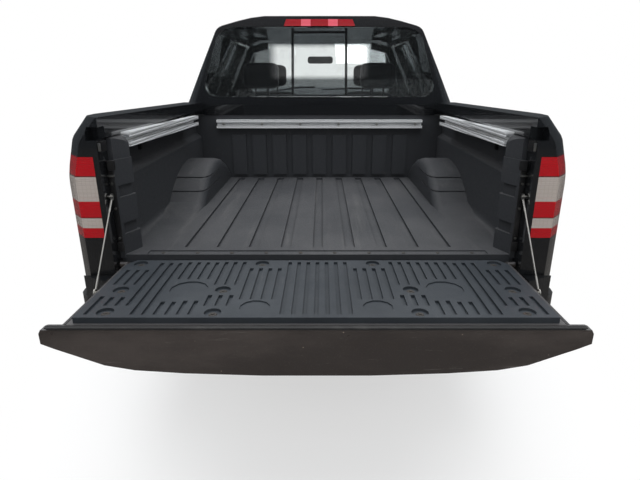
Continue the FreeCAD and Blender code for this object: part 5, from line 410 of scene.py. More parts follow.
def extrusion_surface():
    s = Surface("aluminium", (0.86, 0.875, 0.89), 0.4, 0.35, Specular_IOR_Level=0.7)
    ridges = s.wave(26, "Z")
    # The grooves between the ridges are painted darker: painted shade in the grooves.
    s.tint(s.ramp(ridges, 0.35, 0.05), (0.24, 0.245, 0.25), 0.7)
    s.tint(s.ramp(s.noise(26, 5, 0.7, (1.0, 0.2, 1.0)), 0.55, 0.78), (0.3, 0.3, 0.3), 0.3)
    s.bump(ridges, 0.002, 0.5)
    return s.material


def chassis_surface():
    s = Surface("chassis_coat", (0.017, 0.0165, 0.016), 0.5, Specular_IOR_Level=0.5)
    s.tint(s.ramp(s.noise(7, 7, 0.65), 0.5, 0.75), (0.11, 0.085, 0.062), 0.45)
    s.tint(s.ramp(s.noise(70, 4, 0.7), 0.66, 0.76), (0.13, 0.05, 0.022), 0.4)
    s.bump(s.noise(140, 5), 0.0006, 0.5)
    s.shine(s.noise(12, 5), 0.4, 0.75)
    return s.material


def cast_surface():
    s = Surface("cast_metal", (0.075, 0.07, 0.066), 0.55, 0.6)
    s.tint(s.ramp(s.noise(16, 6, 0.7), 0.5, 0.72), (0.12, 0.06, 0.03), 0.55)
    s.bump(s.noise(260, 4), 0.0007, 0.7)
    return s.material


def rubber_surface():
    s = Surface("tyre_rubber", (0.017, 0.017, 0.0175), 0.72, Specular_IOR_Level=0.35)
    s.tint(s.ramp(s.noise(10, 6, 0.65), 0.45, 0.75), (0.065, 0.058, 0.05), 0.55)
    s.bump(s.noise(420, 3), 0.00035, 0.5)
    s.shine(s.noise(20, 4), 0.62, 0.85)
    return s.material


PANE_IOR = 1.12
PANE_COAT_IOR = 1.5
PANE_SHADE = (0.15, 0.165, 0.17)
HAZE_SHARE = 0.65


def clear_pane(name, colour):
    """The plain shader of a window pane."""
    finish = {"Transmission_Weight": 1.0, "IOR": PANE_IOR, "Coat_Weight": 1.0, "Coat_Roughness": 0.01}
    s = Surface(name, colour, 0.02, **finish)
    s.shader.inputs["Coat IOR"].default_value = PANE_COAT_IOR
    return s


def glass_surface(name, colour):
    s = clear_pane(name, colour)
    s.tint(s.ramp(s.noise(4.0, 6, 0.6), 0.5, 0.8), tuple(c * HAZE_SHARE for c in colour), 0.5)
    return s.material


def shaded_glass():
    """The rear window: clearer in and beside its sliding pane, and dark towards the pillars."""
    s = clear_pane("rear_glass", (0.93, 0.95, 0.95))
    outer = s.ramp(s.maths("ABSOLUTE", s.axis("X")), 0.255, 0.33)
    s.tint(outer, PANE_SHADE)
    s.tint(s.ramp(s.axis("Z"), 1.47, 1.43), PANE_SHADE)
    s.tint(s.ramp(s.axis("Z"), 1.62, 1.66), PANE_SHADE)
    s.tint(s.ramp(s.noise(4.0, 6, 0.6), 0.5, 0.8), (0.5, 0.52, 0.53), 0.25)
    return s.material


def lens_surface(name, colour, transmission, ribs):
    finish = {"Transmission_Weight": transmission, "IOR": 1.45, "Coat_Weight": 1.0, "Coat_Roughness": 0.02}
    s = Surface(name, colour, 0.06, **finish)
    s.bump(s.wave(ribs, "Z"), 0.0009, 0.8)
    s.bump(s.noise(60, 3), 0.0002, 0.2)
    return s.material


LAMP_STRIP = 0.016
LAMP_STRIP_FOOT = 0.954
CLEAR_BAND = (0.34, 0.305, 0.275)
LIT_BAND = (0.72, 0.10, 0.14)
SEAM_BAND = (0.05, 0.002, 0.004)
TAIL_BANDS = [
    (1.050, 1.136, CLEAR_BAND),
    (LAMP_STRIP_FOOT, 0.990, CLEAR_BAND),
    (0.990, 0.993, SEAM_BAND),
    (1.136, 1.139, SEAM_BAND),
]
BRAKE_BANDS = [(-0.115, -0.055, LIT_BAND), (0.055, 0.115, LIT_BAND)]


def banded_lens(name, colour, axis, bands):
    """A lamp's lens whose colour changes in bands along one axis, over a ribbed reflector."""
    s = Surface(name, colour, 0.2, 0.0, Coat_Weight=0.6, Coat_Roughness=0.03, Specular_IOR_Level=0.4)
    place = s.axis(axis)
    for low, high, shade in bands:
        inside = s.maths("MULTIPLY", s.maths("GREATER_THAN", place, low), s.maths("LESS_THAN", place, high))
        s.tint(inside, shade)
    if axis == "Z":
        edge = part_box("tail_lamps")[1][0] - LAMP_STRIP
        outer = s.maths("GREATER_THAN", s.maths("ABSOLUTE", s.axis("X")), edge)
        s.tint(s.maths("MULTIPLY", outer, s.maths("GREATER_THAN", place, LAMP_STRIP_FOOT)), CLEAR_BAND, 0.85)
    cells = s.voronoi(70, "DISTANCE_TO_EDGE", randomness=0.15)
    s.tint(s.ramp(cells, 0.10, 0.0), (0.06, 0.02, 0.02), 0.16)
    s.bump(s.wave(48, "Z"), 0.0012, 0.5)
    s.emit((0.5, 0.02, 0.03), 0.01)
    return s.material


def fabric_surface(name, colour, weave=315, lighter=(0.12, 0.12, 0.125)):
    s = Surface(name, colour, 0.85, Sheen_Weight=0.25, Sheen_Roughness=0.5)
    across = s.wave(weave, "X", 0.4)
    along = s.wave(weave, "Z", 0.4)
    s.tint(s.ramp(s.maths("MULTIPLY", across, along), 0.2, 0.8), lighter, 0.45)
    s.tint(s.ramp(s.noise(5, 5), 0.5, 0.8), lighter, 0.2)
    s.bump(s.maths("ADD", across, along), 0.0006, 0.5)
    return s.material


MATERIALS = {
    "paint": paint_surface(),
    "bed": bed_surface(),
    "liner": liner_surface(),
    "lip": lip_surface(),
    "trim": textured_plastic("trim_plastic", (0.016, 0.016, 0.0165), 0.5),
    "jamb": textured_plastic(
        "jamb_plastic", (0.010, 0.010, 0.0105), 0.42, 1100, 0.00015, (0.12, 0.115, 0.11), 0.15
    ),
    "seal": textured_plastic(
        "seal_rubber", (0.009, 0.009, 0.0095), 0.7, 1500, 0.0001, (0.09, 0.088, 0.085), 0.2
    ),
    "inside": textured_plastic(
        "cabin_plastic", (0.045, 0.045, 0.047), 0.6, 1400, 0.0002, (0.1, 0.1, 0.1), 0.15
    ),
    "aluminium": extrusion_surface(),
    "steel": metal_surface("plated_steel", (0.62, 0.61, 0.58), 0.32, 120, (0.3, 0.27, 0.22), 0.35),
    "bright": metal_surface("bright_metal", (0.86, 0.86, 0.87), 0.08, 40, (0.6, 0.6, 0.6), 0.2),
    "alloy": metal_surface("wheel_alloy", (0.47, 0.475, 0.485), 0.34, 90, (0.2, 0.19, 0.17), 0.3),
    "exhaust": metal_surface("exhaust_steel", (0.40, 0.37, 0.33), 0.42, 50, (0.2, 0.11, 0.06), 0.55),
    "chassis": chassis_surface(),
    "cast": cast_surface(),
    "rubber": rubber_surface(),
    "glass": glass_surface("clear_glass", (0.93, 0.96, 0.95)),
    "privacy": glass_surface("privacy_glass", (0.22, 0.235, 0.24)),
    "rear_glass": shaded_glass(),
    "red_lens": banded_lens("brake_lens", (0.30, 0.002, 0.008), "X", BRAKE_BANDS),
    "tail_lens": banded_lens("tail_lens", (0.34, 0.002, 0.006), "Z", TAIL_BANDS),
    "clear_lens": lens_surface("clear_lens", (0.86, 0.86, 0.84), 0.8, 55),
    "fabric": fabric_surface("seat_fabric", (0.035, 0.035, 0.038)),
    "mirror": metal_surface("mirror_silver", (0.9, 0.91, 0.92), 0.02, 5, (0.8, 0.8, 0.8), 0.1),
}

NODE_MATERIALS = {
    "cab": "paint",
    "bed_sides": "paint",
    "hood": "paint",
    "front_fenders": "paint",
    "front_door_left": "paint",
    "front_door_right": "paint",
    "rear_door_left": "paint",
    "rear_door_right": "paint",
    "tailgate": "lip",
    "cargo_box": "bed",
    "bed_sills": "chassis",
    "tailgate_liner": "liner",
    "utility_tracks": "aluminium",
    "tail_lamps": "tail_lens",
    "headlamps": "clear_lens",
    "brake_lamp": "red_lens",
    "tailgate_cable_left": "steel",
    "tailgate_cable_right": "steel",
    "cable_studs": "steel",
    "rear_bumper": "paint",
    "front_bumper": "paint",
    "grille": "trim",
    "hitch_receiver": "chassis",
    "frame": "chassis",
    "rear_axle": "cast",
    "front_suspension": "cast",
    "knuckle_left": "cast",
    "knuckle_right": "cast",
    "powertrain": "cast",
    "radiator": "trim",
    "exhaust": "exhaust",
    "fuel_tank": "trim",
    "front_arch_liners": "trim",
    "rear_arch_liners": "trim",
    "dashboard": "inside",
    "front_seats": "fabric",
    "rear_seat": "fabric",
    "windscreen": "glass",
    "front_glass_left": "glass",
    "front_glass_right": "glass",
    "rear_glass_left": "privacy",
    "rear_glass_right": "privacy",
    "rear_window": "rear_glass",
    "mirror_left": "paint",
    "mirror_right": "paint",
    "spare_tyre": "rubber",
    "spare_rim": "chassis",
    "front_tyre_left": "rubber",
    "front_tyre_right": "rubber",
    "rear_tyre_left": "rubber",
    "rear_tyre_right": "rubber",
    "front_rim_left": "alloy",
    "front_rim_right": "alloy",
    "rear_rim_left": "alloy",
    "rear_rim_right": "alloy",
}


WELD_DISTANCE = 0.00002


def soften(node):
    """Shades a CAD solid round across its shallow edges and keeps its panels flat."""
    mesh = node.data
    if "custom_normal" in mesh.attributes:
        mesh.attributes.remove(mesh.attributes["custom_normal"])
    for polygon in mesh.polygons:
        polygon.use_smooth = True
    weld = node.modifiers.new("weld", "WELD")
    weld.merge_threshold = WELD_DISTANCE
    split = node.modifiers.new("split", "EDGE_SPLIT")
    split.split_angle = math.radians(CREASE_ANGLE)
    weighted = node.modifiers.new("weighted", "WEIGHTED_NORMAL")
    weighted.keep_sharp = True


for node, surface in NODE_MATERIALS.items():
    slots = NODES[node].data.materials
    slots.clear()
    slots.append(MATERIALS[surface])
    soften(NODES[node])


# Mesh helpers

DISC_TOP_SHARE = 0.82


def at(station):
    """The y of a point this many metres ahead of the bed's rear end."""
    return BED_REAR + station


def corners(node):
    """A node's lowest and highest corners."""
    low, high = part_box(node)
    return Vector(low), Vector(high)


def hit(node, origin, direction):
    """Where a ray first meets a node's surface."""
    found, place = NODES[node].ray_cast(Vector(origin), Vector(direction))[:2]
    return place if found else None


def block(bm, low, high, bevel=0.002):
    """A box between two corners, its edges rounded.

    Blocks come last in a mesh that also has other forms, so that its faces keep their order in each run.
    """
    low, high = Vector(low), Vector(high)
    made = bmesh.ops.create_cube(bm, size=1.0)["verts"]
    place = Matrix.Translation((low + high) / 2) @ Matrix.Diagonal((*(high - low), 1))
    bmesh.ops.transform(bm, matrix=place, verts=made)
    edges = list(dict.fromkeys(edge for vert in made for edge in vert.link_edges))
    bmesh.ops.bevel(bm, geom=edges, offset=bevel, segments=2, affect="EDGES", profile=0.6)


def both_blocks(bm, inner, outer, stations, heights, bevel=0.002):
    """The same box on the left and on the right."""
    (rear, front), (bottom, top) = stations, heights
    block(bm, (inner, at(rear), bottom), (outer, at(front), top), bevel)
    block(bm, (-outer, at(rear), bottom), (-inner, at(front), top), bevel)


def disc(bm, centre, axis, radius, depth, sides=24, top=None):
    """A short turned boss with a chamfered rim."""
    turn = Vector(UP).rotation_difference(Vector(axis)).to_matrix().to_4x4()
    bmesh.ops.create_cone(
        bm,
        cap_ends=True,
        segments=sides,
        radius1=radius,
        radius2=radius * DISC_TOP_SHARE if top is None else top,
        depth=depth,
        matrix=Matrix.Translation(Vector(centre)) @ turn,
    )


def tube(bm, points, radius, sides=10):
    """A round bar through a line of points, closed at both ends."""
    points = [Vector(p) for p in points]
    rings = []
    for index, point in enumerate(points):
        before, after = points[max(index - 1, 0)], points[min(index + 1, len(points) - 1)]
        turn = Vector(UP).rotation_difference((after - before).normalized())
        ring = []
        for step in range(sides):
            angle = 2 * math.pi * step / sides
            spoke = Vector((radius * math.cos(angle), radius * math.sin(angle), 0))
            ring.append(bm.verts.new(point + turn @ spoke))
        rings.append(ring)
    for first, second in zip(rings, rings[1:]):
        for step in range(sides):
            after = (step + 1) % sides
            bm.faces.new((first[step], first[after], second[after], second[step]))
    bm.faces.new(rings[0][::-1])
    bm.faces.new(rings[-1])


def rounded_plate(bm, centre, half_width, half_height, depth, radius, sides=6):
    """An upright plate with rounded corners, facing along y."""
    front, back = [], []
    for corner, (sx, sz) in enumerate(((1, 1), (-1, 1), (-1, -1), (1, -1))):
        for step in range(sides + 1):
            angle = math.radians(90 * corner + 90 * step / sides)
            x = centre[0] + sx * (half_width - radius) + radius * math.cos(angle)
            z = centre[2] + sz * (half_height - radius) + radius * math.sin(angle)
            front.append(bm.verts.new((x, centre[1] - depth / 2, z)))
            back.append(bm.verts.new((x, centre[1] + depth / 2, z)))
    bm.faces.new(front)
    bm.faces.new(back[::-1])
    for index in range(len(front)):
        after = (index + 1) % len(front)
        bm.faces.new((front[index], back[index], back[after], front[after]))


def piece_of(bm, name, surface, body, angle=CREASE_ANGLE):
    """Makes an object of the mesh, with its finish, and lets it ride on a body."""
    bmesh.ops.recalc_face_normals(bm, faces=bm.faces)
    mesh = bpy.data.meshes.new(name)
    bm.to_mesh(mesh)
    bm.free()
    for polygon in mesh.polygons:
        polygon.use_smooth = True
    mesh.set_sharp_from_angle(angle=math.radians(angle))
    mesh.materials.append(MATERIALS[surface])
    piece = bpy.data.objects.new(name, mesh)
    bpy.context.scene.collection.objects.link(piece)
    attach(piece, body)
    return piece


bpy.context.view_layer.update()


# Wheels

TREAD_STEPS = 168
TREAD_RADIUS = 0.388
TREAD_CREASE_ANGLE = 25
RIB_EDGE = 0.3865
RIB_CROWN = 0.3875
GROOVE_FLOOR = 0.3795
GROOVE_SLOPE = 0.012
CROSS_CUT = 0.0065
TREAD_RIBS = [
    (-0.80, -0.50, "shoulder"),
    (-0.44, -0.16, "middle"),
    (-0.10, 0.10, "centre"),
    (0.16, 0.44, "middle"),
    (0.50, 0.80, "shoulder"),
]
SIDEWALL = [
    (0.80, 0.2188),
    (0.87, 0.232),
    (0.965, 0.27),
    (0.995, 0.31),
    (0.98, 0.345),
    (0.93, 0.366),
    (0.86, 0.379),
]
WHEELS = [
    ("front", "left", "wheel_front_left"),
    ("front", "right", "wheel_front_right"),
    ("rear", "left", "wheel_rear_left"),
    ("rear", "right", "wheel_rear_right"),
]
LUGS = 6
LUG_CIRCLE = 0.057
LUG_RADIUS = 0.0105
LUG_LENGTH = 0.014
LUG_STAND = 0.006
LUG_RAY_START = 1.6


def tyre_section():
    """The closed profile of a tyre: share of its half width, radius, and the rib that a point is on."""
    points = [(-x, r, "") for x, r in SIDEWALL]
    for left, right, rib in TREAD_RIBS:
        points += [
            (left - GROOVE_SLOPE, GROOVE_FLOOR, ""),
            (left, RIB_EDGE, rib),
            ((left + right) / 2, RIB_CROWN, rib),
            (right, RIB_EDGE, rib),
            (right + GROOVE_SLOPE, GROOVE_FLOOR, ""),
        ]
    points += [(x, r, "") for x, r in reversed(SIDEWALL)]
    return points


def tread_cut(rib, step):
    """Whether a step round the tyre lies in a cross groove of this rib."""
    if rib == "shoulder":
        return step % 6 == 0
    if rib == "middle":
        return step % 7 == 3
    return rib == "centre" and step % 4 == 1


def tyre(node, body, upright=True):
    """A tyre with its tread, upright on an axle or lying flat."""
    low, high = corners(node)
    centre = (low + high) / 2
    half = ((high.x - low.x) if upright else (high.z - low.z)) / 2
    scale = (high.y - low.y) / 2 / TREAD_RADIUS
    section = tyre_section()
    bm = bmesh.new()
    rings = []
    for step in range(TREAD_STEPS):
        angle = 2 * math.pi * step / TREAD_STEPS
        ring = []
        for share, radius, rib in section:
            reach = (radius - (CROSS_CUT if tread_cut(rib, step) else 0)) * scale
            if upright:
                offset = (share * half, reach * math.cos(angle), reach * math.sin(angle))
            else:
                offset = (reach * math.cos(angle), reach * math.sin(angle), share * half)
            ring.append(bm.verts.new(centre + Vector(offset)))
        rings.append(ring)
    for step in range(TREAD_STEPS):
        first, second = rings[step], rings[(step + 1) % TREAD_STEPS]
        for index in range(len(section)):
            after = (index + 1) % len(section)
            bm.faces.new((first[index], first[after], second[after], second[index]))
    piece = piece_of(bm, node + "_tread", "rubber", body, TREAD_CREASE_ANGLE)
    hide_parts(node)


def lug_nuts(end, side, body):
    """The nuts on a wheel's face."""
    rim = f"{end}_rim_{side}"
    low, high = corners(rim)
    middle = (low + high) / 2
    out = 1 if middle.x > 0 else -1
    bm = bmesh.new()
    for lug in range(LUGS):
        angle = math.radians(360 / LUGS * lug + 30)
        y, z = middle.y + LUG_CIRCLE * math.cos(angle), middle.z + LUG_CIRCLE * math.sin(angle)
        face = hit(rim, (out * LUG_RAY_START, y, z), (-out, 0, 0))
        if face is not None:
            disc(bm, (face.x + out * LUG_STAND, y, z), (out, 0, 0), LUG_RADIUS, LUG_LENGTH, 6)
    piece_of(bm, f"{end}_lug_nuts_{side}", "bright", body)


for end, side, body in WHEELS:
    tyre(f"{end}_tyre_{side}", body)
    lug_nuts(end, side, body)
tyre("spare_tyre", "body", False)


# Cargo box fittings: inner and outer x, stations, heights and bevel of what stands on both sides

JAMB_COVERS = [
    (0.7168, 0.7345, (0.0555, 0.0612), (0.862, 1.180), 0.0012),
    (0.7120, 0.7340, (0.0440, 0.0553), (0.850, 0.884), 0.003),
    (0.7040, 0.7300, (0.0420, 0.0553), (1.150, 1.184), 0.004),
    (0.7255, 0.7345, (0.0120, 0.0540), (1.218, 1.254), 0.002),
]
JAMB_BRACKETS = [
    (0.7120, 0.7345, (0.0400, 0.0550), (1.128, 1.134), 0.001),
    (0.7260, 0.7345, (0.0030, 0.0110), (1.222, 1.250), 0.002),
]
JAMB_BOLT_X = 0.7255
JAMB_BOLT_HEIGHTS = (0.898, 1.010, 1.100)
TRACK_SCREWS = 6
TRACK_SCREW_PITCH = 0.24
TRACK_SCREW_HEIGHT = 1.173
SILL_SCREWS = 10
SILL_SCREW_PITCH = 0.13
WASHER_THICKNESS = 0.0024
LINER_NEAR = -0.419
LINER_LENGTH = 0.440
LINER_HALF_WIDTH = 0.682
LINER_SCREWS = [
    (0.928, 0.925),
    (0.905, 0.418),
    (0.886, 0.080),
    (0.290, 0.930),
    (0.434, 0.423),
    (0.434, 0.072),
]


def jamb_covers():
    bm = bmesh.new()
    for cover in JAMB_COVERS:
        both_blocks(bm, *cover)
    piece_of(bm, "jamb_covers", "jamb", "body")


def jamb_hardware():
    bm = bmesh.new()
    for out in (-1, 1):
        for z in JAMB_BOLT_HEIGHTS:
            disc(bm, (out * JAMB_BOLT_X, at(0.0540), z), REARWARDS, 0.0055, 0.004, 6)
    for bracket in JAMB_BRACKETS:
        both_blocks(bm, *bracket)
    piece_of(bm, "jamb_hardware", "steel", "body")


def track_screws():
    bm = bmesh.new()
    for index in range(TRACK_SCREWS):
        x = -0.6 + TRACK_SCREW_PITCH * index
        disc(bm, (x, at(1.4742), TRACK_SCREW_HEIGHT), REARWARDS, 0.0085, 0.003, 18)
    piece_of(bm, "track_screws", "steel", "body")


def wall_cleats():
    """A small lashing cleat on each side wall, under the track."""
    bm = bmesh.new()
    for out in (-1, 1):
        wall = hit("cargo_box", (0, at(0.50), 1.175), (out, 0, 0))
        inner, outer = sorted((wall.x - out * 0.014, wall.x + out * 0.004))
        block(bm, (inner, at(0.484), 1.158), (outer, at(0.516), 1.192), 0.004)
    piece_of(bm, "rail_cleats", "jamb", "body")


def sill_screws():
    bm = bmesh.new()
    for index in range(SILL_SCREWS):
        x = -0.585 + SILL_SCREW_PITCH * index
        disc(bm, (x, at(0.093), 0.8275), UP, 0.0075, 0.003, 12)
    piece_of(bm, "sill_screws", "cast", "body")


def liner_screws():
    """A washer and a screw head in each small recess of the liner."""
    bm = bmesh.new()
    for across, along in LINER_SCREWS:
        for x in (-LINER_HALF_WIDTH * across, LINER_HALF_WIDTH * across):
            y = at(LINER_NEAR + LINER_LENGTH * along)
            face = hit("tailgate_liner", (x, y, 1.0), DOWN)
            disc(bm, face + Vector((0, 0, 0.0012)), UP, 0.0125, WASHER_THICKNESS, 24)
            disc(bm, face + Vector((0, 0, 0.0036)), UP, 0.0062, WASHER_THICKNESS, 6)
    piece_of(bm, "liner_screws", "cast", "tailgate_panel")


def lip_strip():
    bm = bmesh.new()
    block(bm, (-0.745, at(-0.4545), 0.8065), (0.745, at(-0.4395), 0.8105), 0.0018)
    piece_of(bm, "lip_strip", "trim", "tailgate_panel")


jamb_covers()
jamb_hardware()
track_screws()
wall_cleats()
sill_screws()
liner_screws()
lip_strip()


# Glass, mirrors, wipers and handles

SLIDER_HALF_WIDTH = 0.170
SLIDER_FOOT = 1.345
SLIDER_HEIGHT = 0.40
SLIDER_TOP = 1.722
POST_STEPS = 7
SLIDER_STEPS = 8
SLIDER_STAND = 0.009
MIRROR_HALF_HOUSING = 0.1075
MIRROR_HALF_HEIGHT = 0.095
MIRROR_GLASS_HALVES = (0.088, 0.076)
WIPER_STEPS = 8
WIPER_Y = 1.44
WIPER_SLANT = 0.05
WIPERS = [("left", -0.62, -0.06), ("right", 0.02, 0.56)]
HANDLE_HEIGHT = 1.085
HANDLE_LENGTH = 0.20
HANDLE_FROM_EDGE = 0.10
HANDLE_RADIUS = 0.0105
HANDLE_RAY_START = 1.5
HANDLE_LINE = [
    (0.0, -0.004),
    (0.06, 0.022),
    (0.2, 0.034),
    (0.5, 0.037),
    (0.8, 0.034),
    (0.94, 0.022),
    (1.0, -0.004),
]


def behind_rear_glass(x, z):
    """A point just inside the rear window."""
    face = hit("rear_window", (x, 0.4, z), REARWARDS)
    return None if face is None else (x, face.y + SLIDER_STAND, z)


def slider_frame():
    """The two posts and the top bar of the rear window's sliding pane."""
    bm = bmesh.new()
    for x in (-SLIDER_HALF_WIDTH, SLIDER_HALF_WIDTH):
        heights = [SLIDER_FOOT + SLIDER_HEIGHT * step / POST_STEPS for step in range(POST_STEPS + 1)]
        post = [behind_rear_glass(x, z) for z in heights]
        tube(bm, [p for p in post if p], 0.0085, 8)
    pitch = 2 * SLIDER_HALF_WIDTH / SLIDER_STEPS
    places = [-SLIDER_HALF_WIDTH + pitch * step for step in range(SLIDER_STEPS + 1)]
    bar = [behind_rear_glass(x, SLIDER_TOP) for x in places]
    tube(bm, [p for p in bar if p], 0.0075, 8)
    piece_of(bm, "rear_slider_frame", "seal", "body")


def cabin_mirror():
    """The inside mirror on its arm behind the windscreen."""
    glass = hit("windscreen", (0, 0.6, 1.62), FORWARDS).y
    bm = bmesh.new()
    rounded_plate(bm, (0, glass - 0.085, 1.60), 0.12, 0.032, 0.022, 0.024)
    arm = [(0, glass - 0.075, 1.61), (0, glass - 0.045, 1.622), (0, glass - 0.012, 1.628)]
    tube(bm, arm, 0.009, 10)
    piece_of(bm, "cabin_mirror", "inside", "body")


def mirror_glass(side):
    node = f"mirror_{side}"
    low, high = corners(node)
    out = 1 if (low.x + high.x) > 0 else -1
    x = (high.x if out > 0 else low.x) - out * MIRROR_HALF_HOUSING
    z = high.z - MIRROR_HALF_HEIGHT
    face = hit(node, (x, low.y - 0.5, z), FORWARDS)
    bm = bmesh.new()
    rounded_plate(bm, (x, face.y - 0.002, z), *MIRROR_GLASS_HALVES, 0.004, 0.022)
    piece_of(bm, f"mirror_glass_{side}", "mirror", "door_front_" + side)


def wiper(name, start, end):
    """A blade along the foot of the windscreen, and its arm."""
    points = []
    for step in range(WIPER_STEPS + 1):
        x = start + (end - start) * step / WIPER_STEPS
        face = hit("windscreen", (x, WIPER_Y - WIPER_SLANT * step / WIPER_STEPS, 3.0), DOWN)
        if face is not None:
            points.append(face + Vector((0, 0.006, 0.012)))
    bm = bmesh.new()
    if len(points) > 2:
        tube(bm, points, 0.006, 8)
        middle, base = points[4], points[-1]
        arm = [
            middle + Vector((0, 0.004, 0.008)),
            (middle + base) / 2 + Vector((0, 0.03, 0.006)),
            base + Vector((0, 0.055, -0.012)),
        ]
        tube(bm, arm, 0.007, 8)
    piece_of(bm, f"wiper_{name}", "seal", "body")


def door_handle(end, side):
    """A pull handle that stands off the door's skin."""
    node = f"{end}_door_{side}"
    low, high = corners(node)
    out = 1 if (low.x + high.x) > 0 else -1
    points = []
    for share, stand in HANDLE_LINE:
        y = low.y + HANDLE_FROM_EDGE + HANDLE_LENGTH * share
        face = hit(node, (out * HANDLE_RAY_START, y, HANDLE_HEIGHT), (-out, 0, 0))
        if face is not None:
            points.append((face.x + out * stand, y, HANDLE_HEIGHT))
    bm = bmesh.new()
    tube(bm, points, HANDLE_RADIUS, 14)
    piece_of(bm, f"door_handle_{end}_{side}", "paint", f"door_{end}_{side}")


slider_frame()
cabin_mirror()
for side in ("left", "right"):
    mirror_glass(side)
for name, start, end in WIPERS:
    wiper(name, start, end)
for end in ("front", "rear"):
    for side in ("left", "right"):
        door_handle(end, side)


# Seats

PAD_CUTS = 19
PAD_ROUNDNESS = 4.5
WAIST = 0.035
CHANNEL_DEPTH, CHANNEL_WIDTH = 0.11, 0.045
SEAM_DEPTH, SEAM_WIDTH, SEAM_PLACE = 0.06, 0.03, 0.86
CUSHION_HALVES, CUSHION_LEAN = (0.215, 0.068), 0.012
BACK_HALVES, BACK_LEAN = (0.062, 0.255), 0.140
HEADREST_HALVES = (0.120, 0.043, 0.082)
ROD_SPREAD = 0.042
ROD_RADIUS = 0.006
FRONT_SEAT_X = 0.385
FRONT_SEAT_Y = 0.1705
REAR_SEAT_Y = -0.5395
FRONT_CHANNELS = (-0.55, 0.55)
REAR_CHANNELS = (-0.78, -0.36, 0.36, 0.78)
HEAD_PLACES = (-FRONT_SEAT_X, FRONT_SEAT_X)


def pad_point(vert, channels):
    """A point of a unit cube drawn in to a crowned, seamed cushion."""
    a, b, c = vert
    reach = sum(abs(value) ** PAD_ROUNDNESS for value in vert) ** (1 / PAD_ROUNDNESS)
    a, b, c = a / reach, b / reach, c / reach
    a *= 1 - WAIST * (1 - b * b)
    for channel in channels:
        if c > 0:
            c -= CHANNEL_DEPTH * math.exp(-(((a - channel) / CHANNEL_WIDTH) ** 2))
    seam = math.exp(-(((max(abs(a), abs(b)) - SEAM_PLACE) / SEAM_WIDTH) ** 2))
    if abs(c) > 0.5:
        c -= math.copysign(SEAM_DEPTH * seam, c)
    return a, b, c


def pad(name, node, centre, half, lean=0.0, upright=False, channels=()):
    """A cushion: a closed form that pulls in towards its corners, with sewn channels and a seam."""
    bm = bmesh.new()
    bmesh.ops.create_cube(bm, size=2.0)
    bmesh.ops.subdivide_edges(bm, edges=bm.edges[:], cuts=PAD_CUTS, use_grid_fill=True)
    for vert in bm.verts:
        a, b, c = pad_point(vert.co, channels)
        if upright:
            offset = (a * half[0], c * half[1] - lean * (b + 1) / 2, b * half[2])
        else:
            offset = (a * half[0], b * half[1], c * half[2] + lean * b)
        vert.co = [place + shift for place, shift in zip(centre, offset)]
    piece = piece_of(bm, name, "fabric", "body", 60)
    round_off = piece.modifiers.new("round", "SUBSURF")
    round_off.levels = 1
    round_off.render_levels = 1
    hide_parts(node)


def seat_pads(prefix, node, x, y, half, heads, channels):
    """The cushion, back and headrests of one seat, in its solid's space."""
    low, high = (x, y + 0.30, 0.855), (x, y + 0.068, 1.085)
    pad(f"{prefix}_cushion", node, low, (half, *CUSHION_HALVES), CUSHION_LEAN, False, channels)
    pad(f"{prefix}_back", node, high, (half, *BACK_HALVES), BACK_LEAN, True, channels)
    for index, head in enumerate(heads):
        name = f"{prefix}_headrest_{index + 1}"
        pad(name, node, (head, y - 0.103, 1.460), HEADREST_HALVES, 0.0, True)


def seat_frame(node, y, seats, half):
    """The risers under the cushions and the two rods of each headrest."""
    bm = bmesh.new()
    for head in HEAD_PLACES:
        for x in (head - ROD_SPREAD, head + ROD_SPREAD):
            rod = [(x, y - 0.085, 1.305), (x, y - 0.095, 1.350), (x, y - 0.100, 1.400)]
            tube(bm, rod, ROD_RADIUS, 10)
    for x in seats:
        block(bm, (x - half, y + 0.055, 0.602), (x + half, y + 0.465, 0.790), 0.012)
    piece = piece_of(bm, f"{node}_frame", "inside", "body")
    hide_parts(node)


for side, x in (("left", -FRONT_SEAT_X), ("right", FRONT_SEAT_X)):
    seat_pads(f"front_seat_{side}", "front_seats", x, FRONT_SEAT_Y, 0.250, [x], FRONT_CHANNELS)
seat_pads("rear_seat", "rear_seat", 0.0, REAR_SEAT_Y, 0.682, HEAD_PLACES, REAR_CHANNELS)
seat_frame("front_seats", FRONT_SEAT_Y, HEAD_PLACES, 0.200)
seat_frame("rear_seat", REAR_SEAT_Y, (0.0,), 0.630)


# Bumpers and lamps

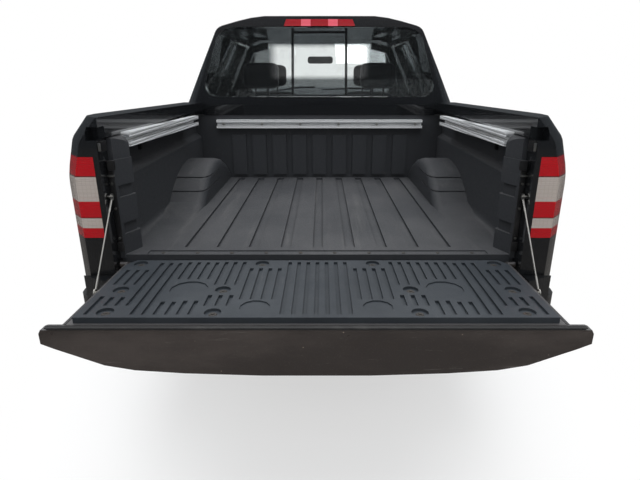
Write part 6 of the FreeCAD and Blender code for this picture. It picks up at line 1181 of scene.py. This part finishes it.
AHEAD = 4.0
STEP_STRIPS = 7
STRIP_PITCH = 0.045
MESH_STEPS = 24
MESH_PITCH = 0.04
MESH_ROWS = 10
MESH_ROW_PITCH = 0.0192
REFLECTORS = [(0.62, 0.040), (0.73, 0.036)]
REFLECTOR_BACK_SHARE = 0.6
FOG_LAMP_X = 0.69
FOG_LAMP_RADIUS = 0.046


def step_pads():
    """Grip strips on the rear bumper's steps."""
    bm = bmesh.new()
    rear = corners("rear_bumper")[0].y
    for out in (-1, 1):
        for index in range(STEP_STRIPS):
            x = out * (0.40 + STRIP_PITCH * index)
            face = hit("rear_bumper", (x, rear + 0.09, 2.0), DOWN)
            if face is not None:
                near = (x - 0.012, rear + 0.045, face.z - 0.002)
                block(bm, near, (x + 0.012, rear + 0.135, face.z + 0.004), 0.0015)
    piece_of(bm, "bumper_step_pads", "trim", "body")


def headlamp_reflectors():
    bm = bmesh.new()
    low, high = corners("headlamps")
    z = (low.z + high.z) / 2
    for out in (-1, 1):
        for x, radius in REFLECTORS:
            face = hit("headlamps", (out * x, high.y + 0.5, z), REARWARDS)
            if face is not None:
                centre = (out * x, face.y - 0.016, z)
                disc(bm, centre, FORWARDS, radius * REFLECTOR_BACK_SHARE, 0.020, 32, radius)
    piece_of(bm, "headlamp_reflectors", "bright", "body")


def intake_mesh():
    """A lattice of thin bars behind the lower air intake, bent with the bumper."""
    bm = bmesh.new()
    line = []
    for step in range(MESH_STEPS + 1):
        x = MESH_PITCH * (step - MESH_STEPS / 2)
        face = hit("front_bumper", (x, AHEAD, 0.655), REARWARDS)
        line.append(Vector((x, face.y - 0.030, 0)))
    for row in range(MESH_ROWS):
        tube(bm, [p + Vector((0, 0, 0.466 + MESH_ROW_PITCH * row)) for p in line], 0.0042, 6)
    for p in line:
        tube(bm, [p + Vector((0, -0.004, 0.462)), p + Vector((0, -0.004, 0.643))], 0.0036, 6)
    piece_of(bm, "intake_mesh", "trim", "body")


def fog_lamps():
    bm = bmesh.new()
    for out in (-1, 1):
        face = hit("front_bumper", (out * FOG_LAMP_X, AHEAD, 0.575), REARWARDS)
        disc(bm, face + Vector((0, 0.006, 0)), FORWARDS, FOG_LAMP_RADIUS, 0.012, 32)
    piece_of(bm, "fog_lamps", "clear_lens", "body")


step_pads()
headlamp_reflectors()
intake_mesh()
fog_lamps()
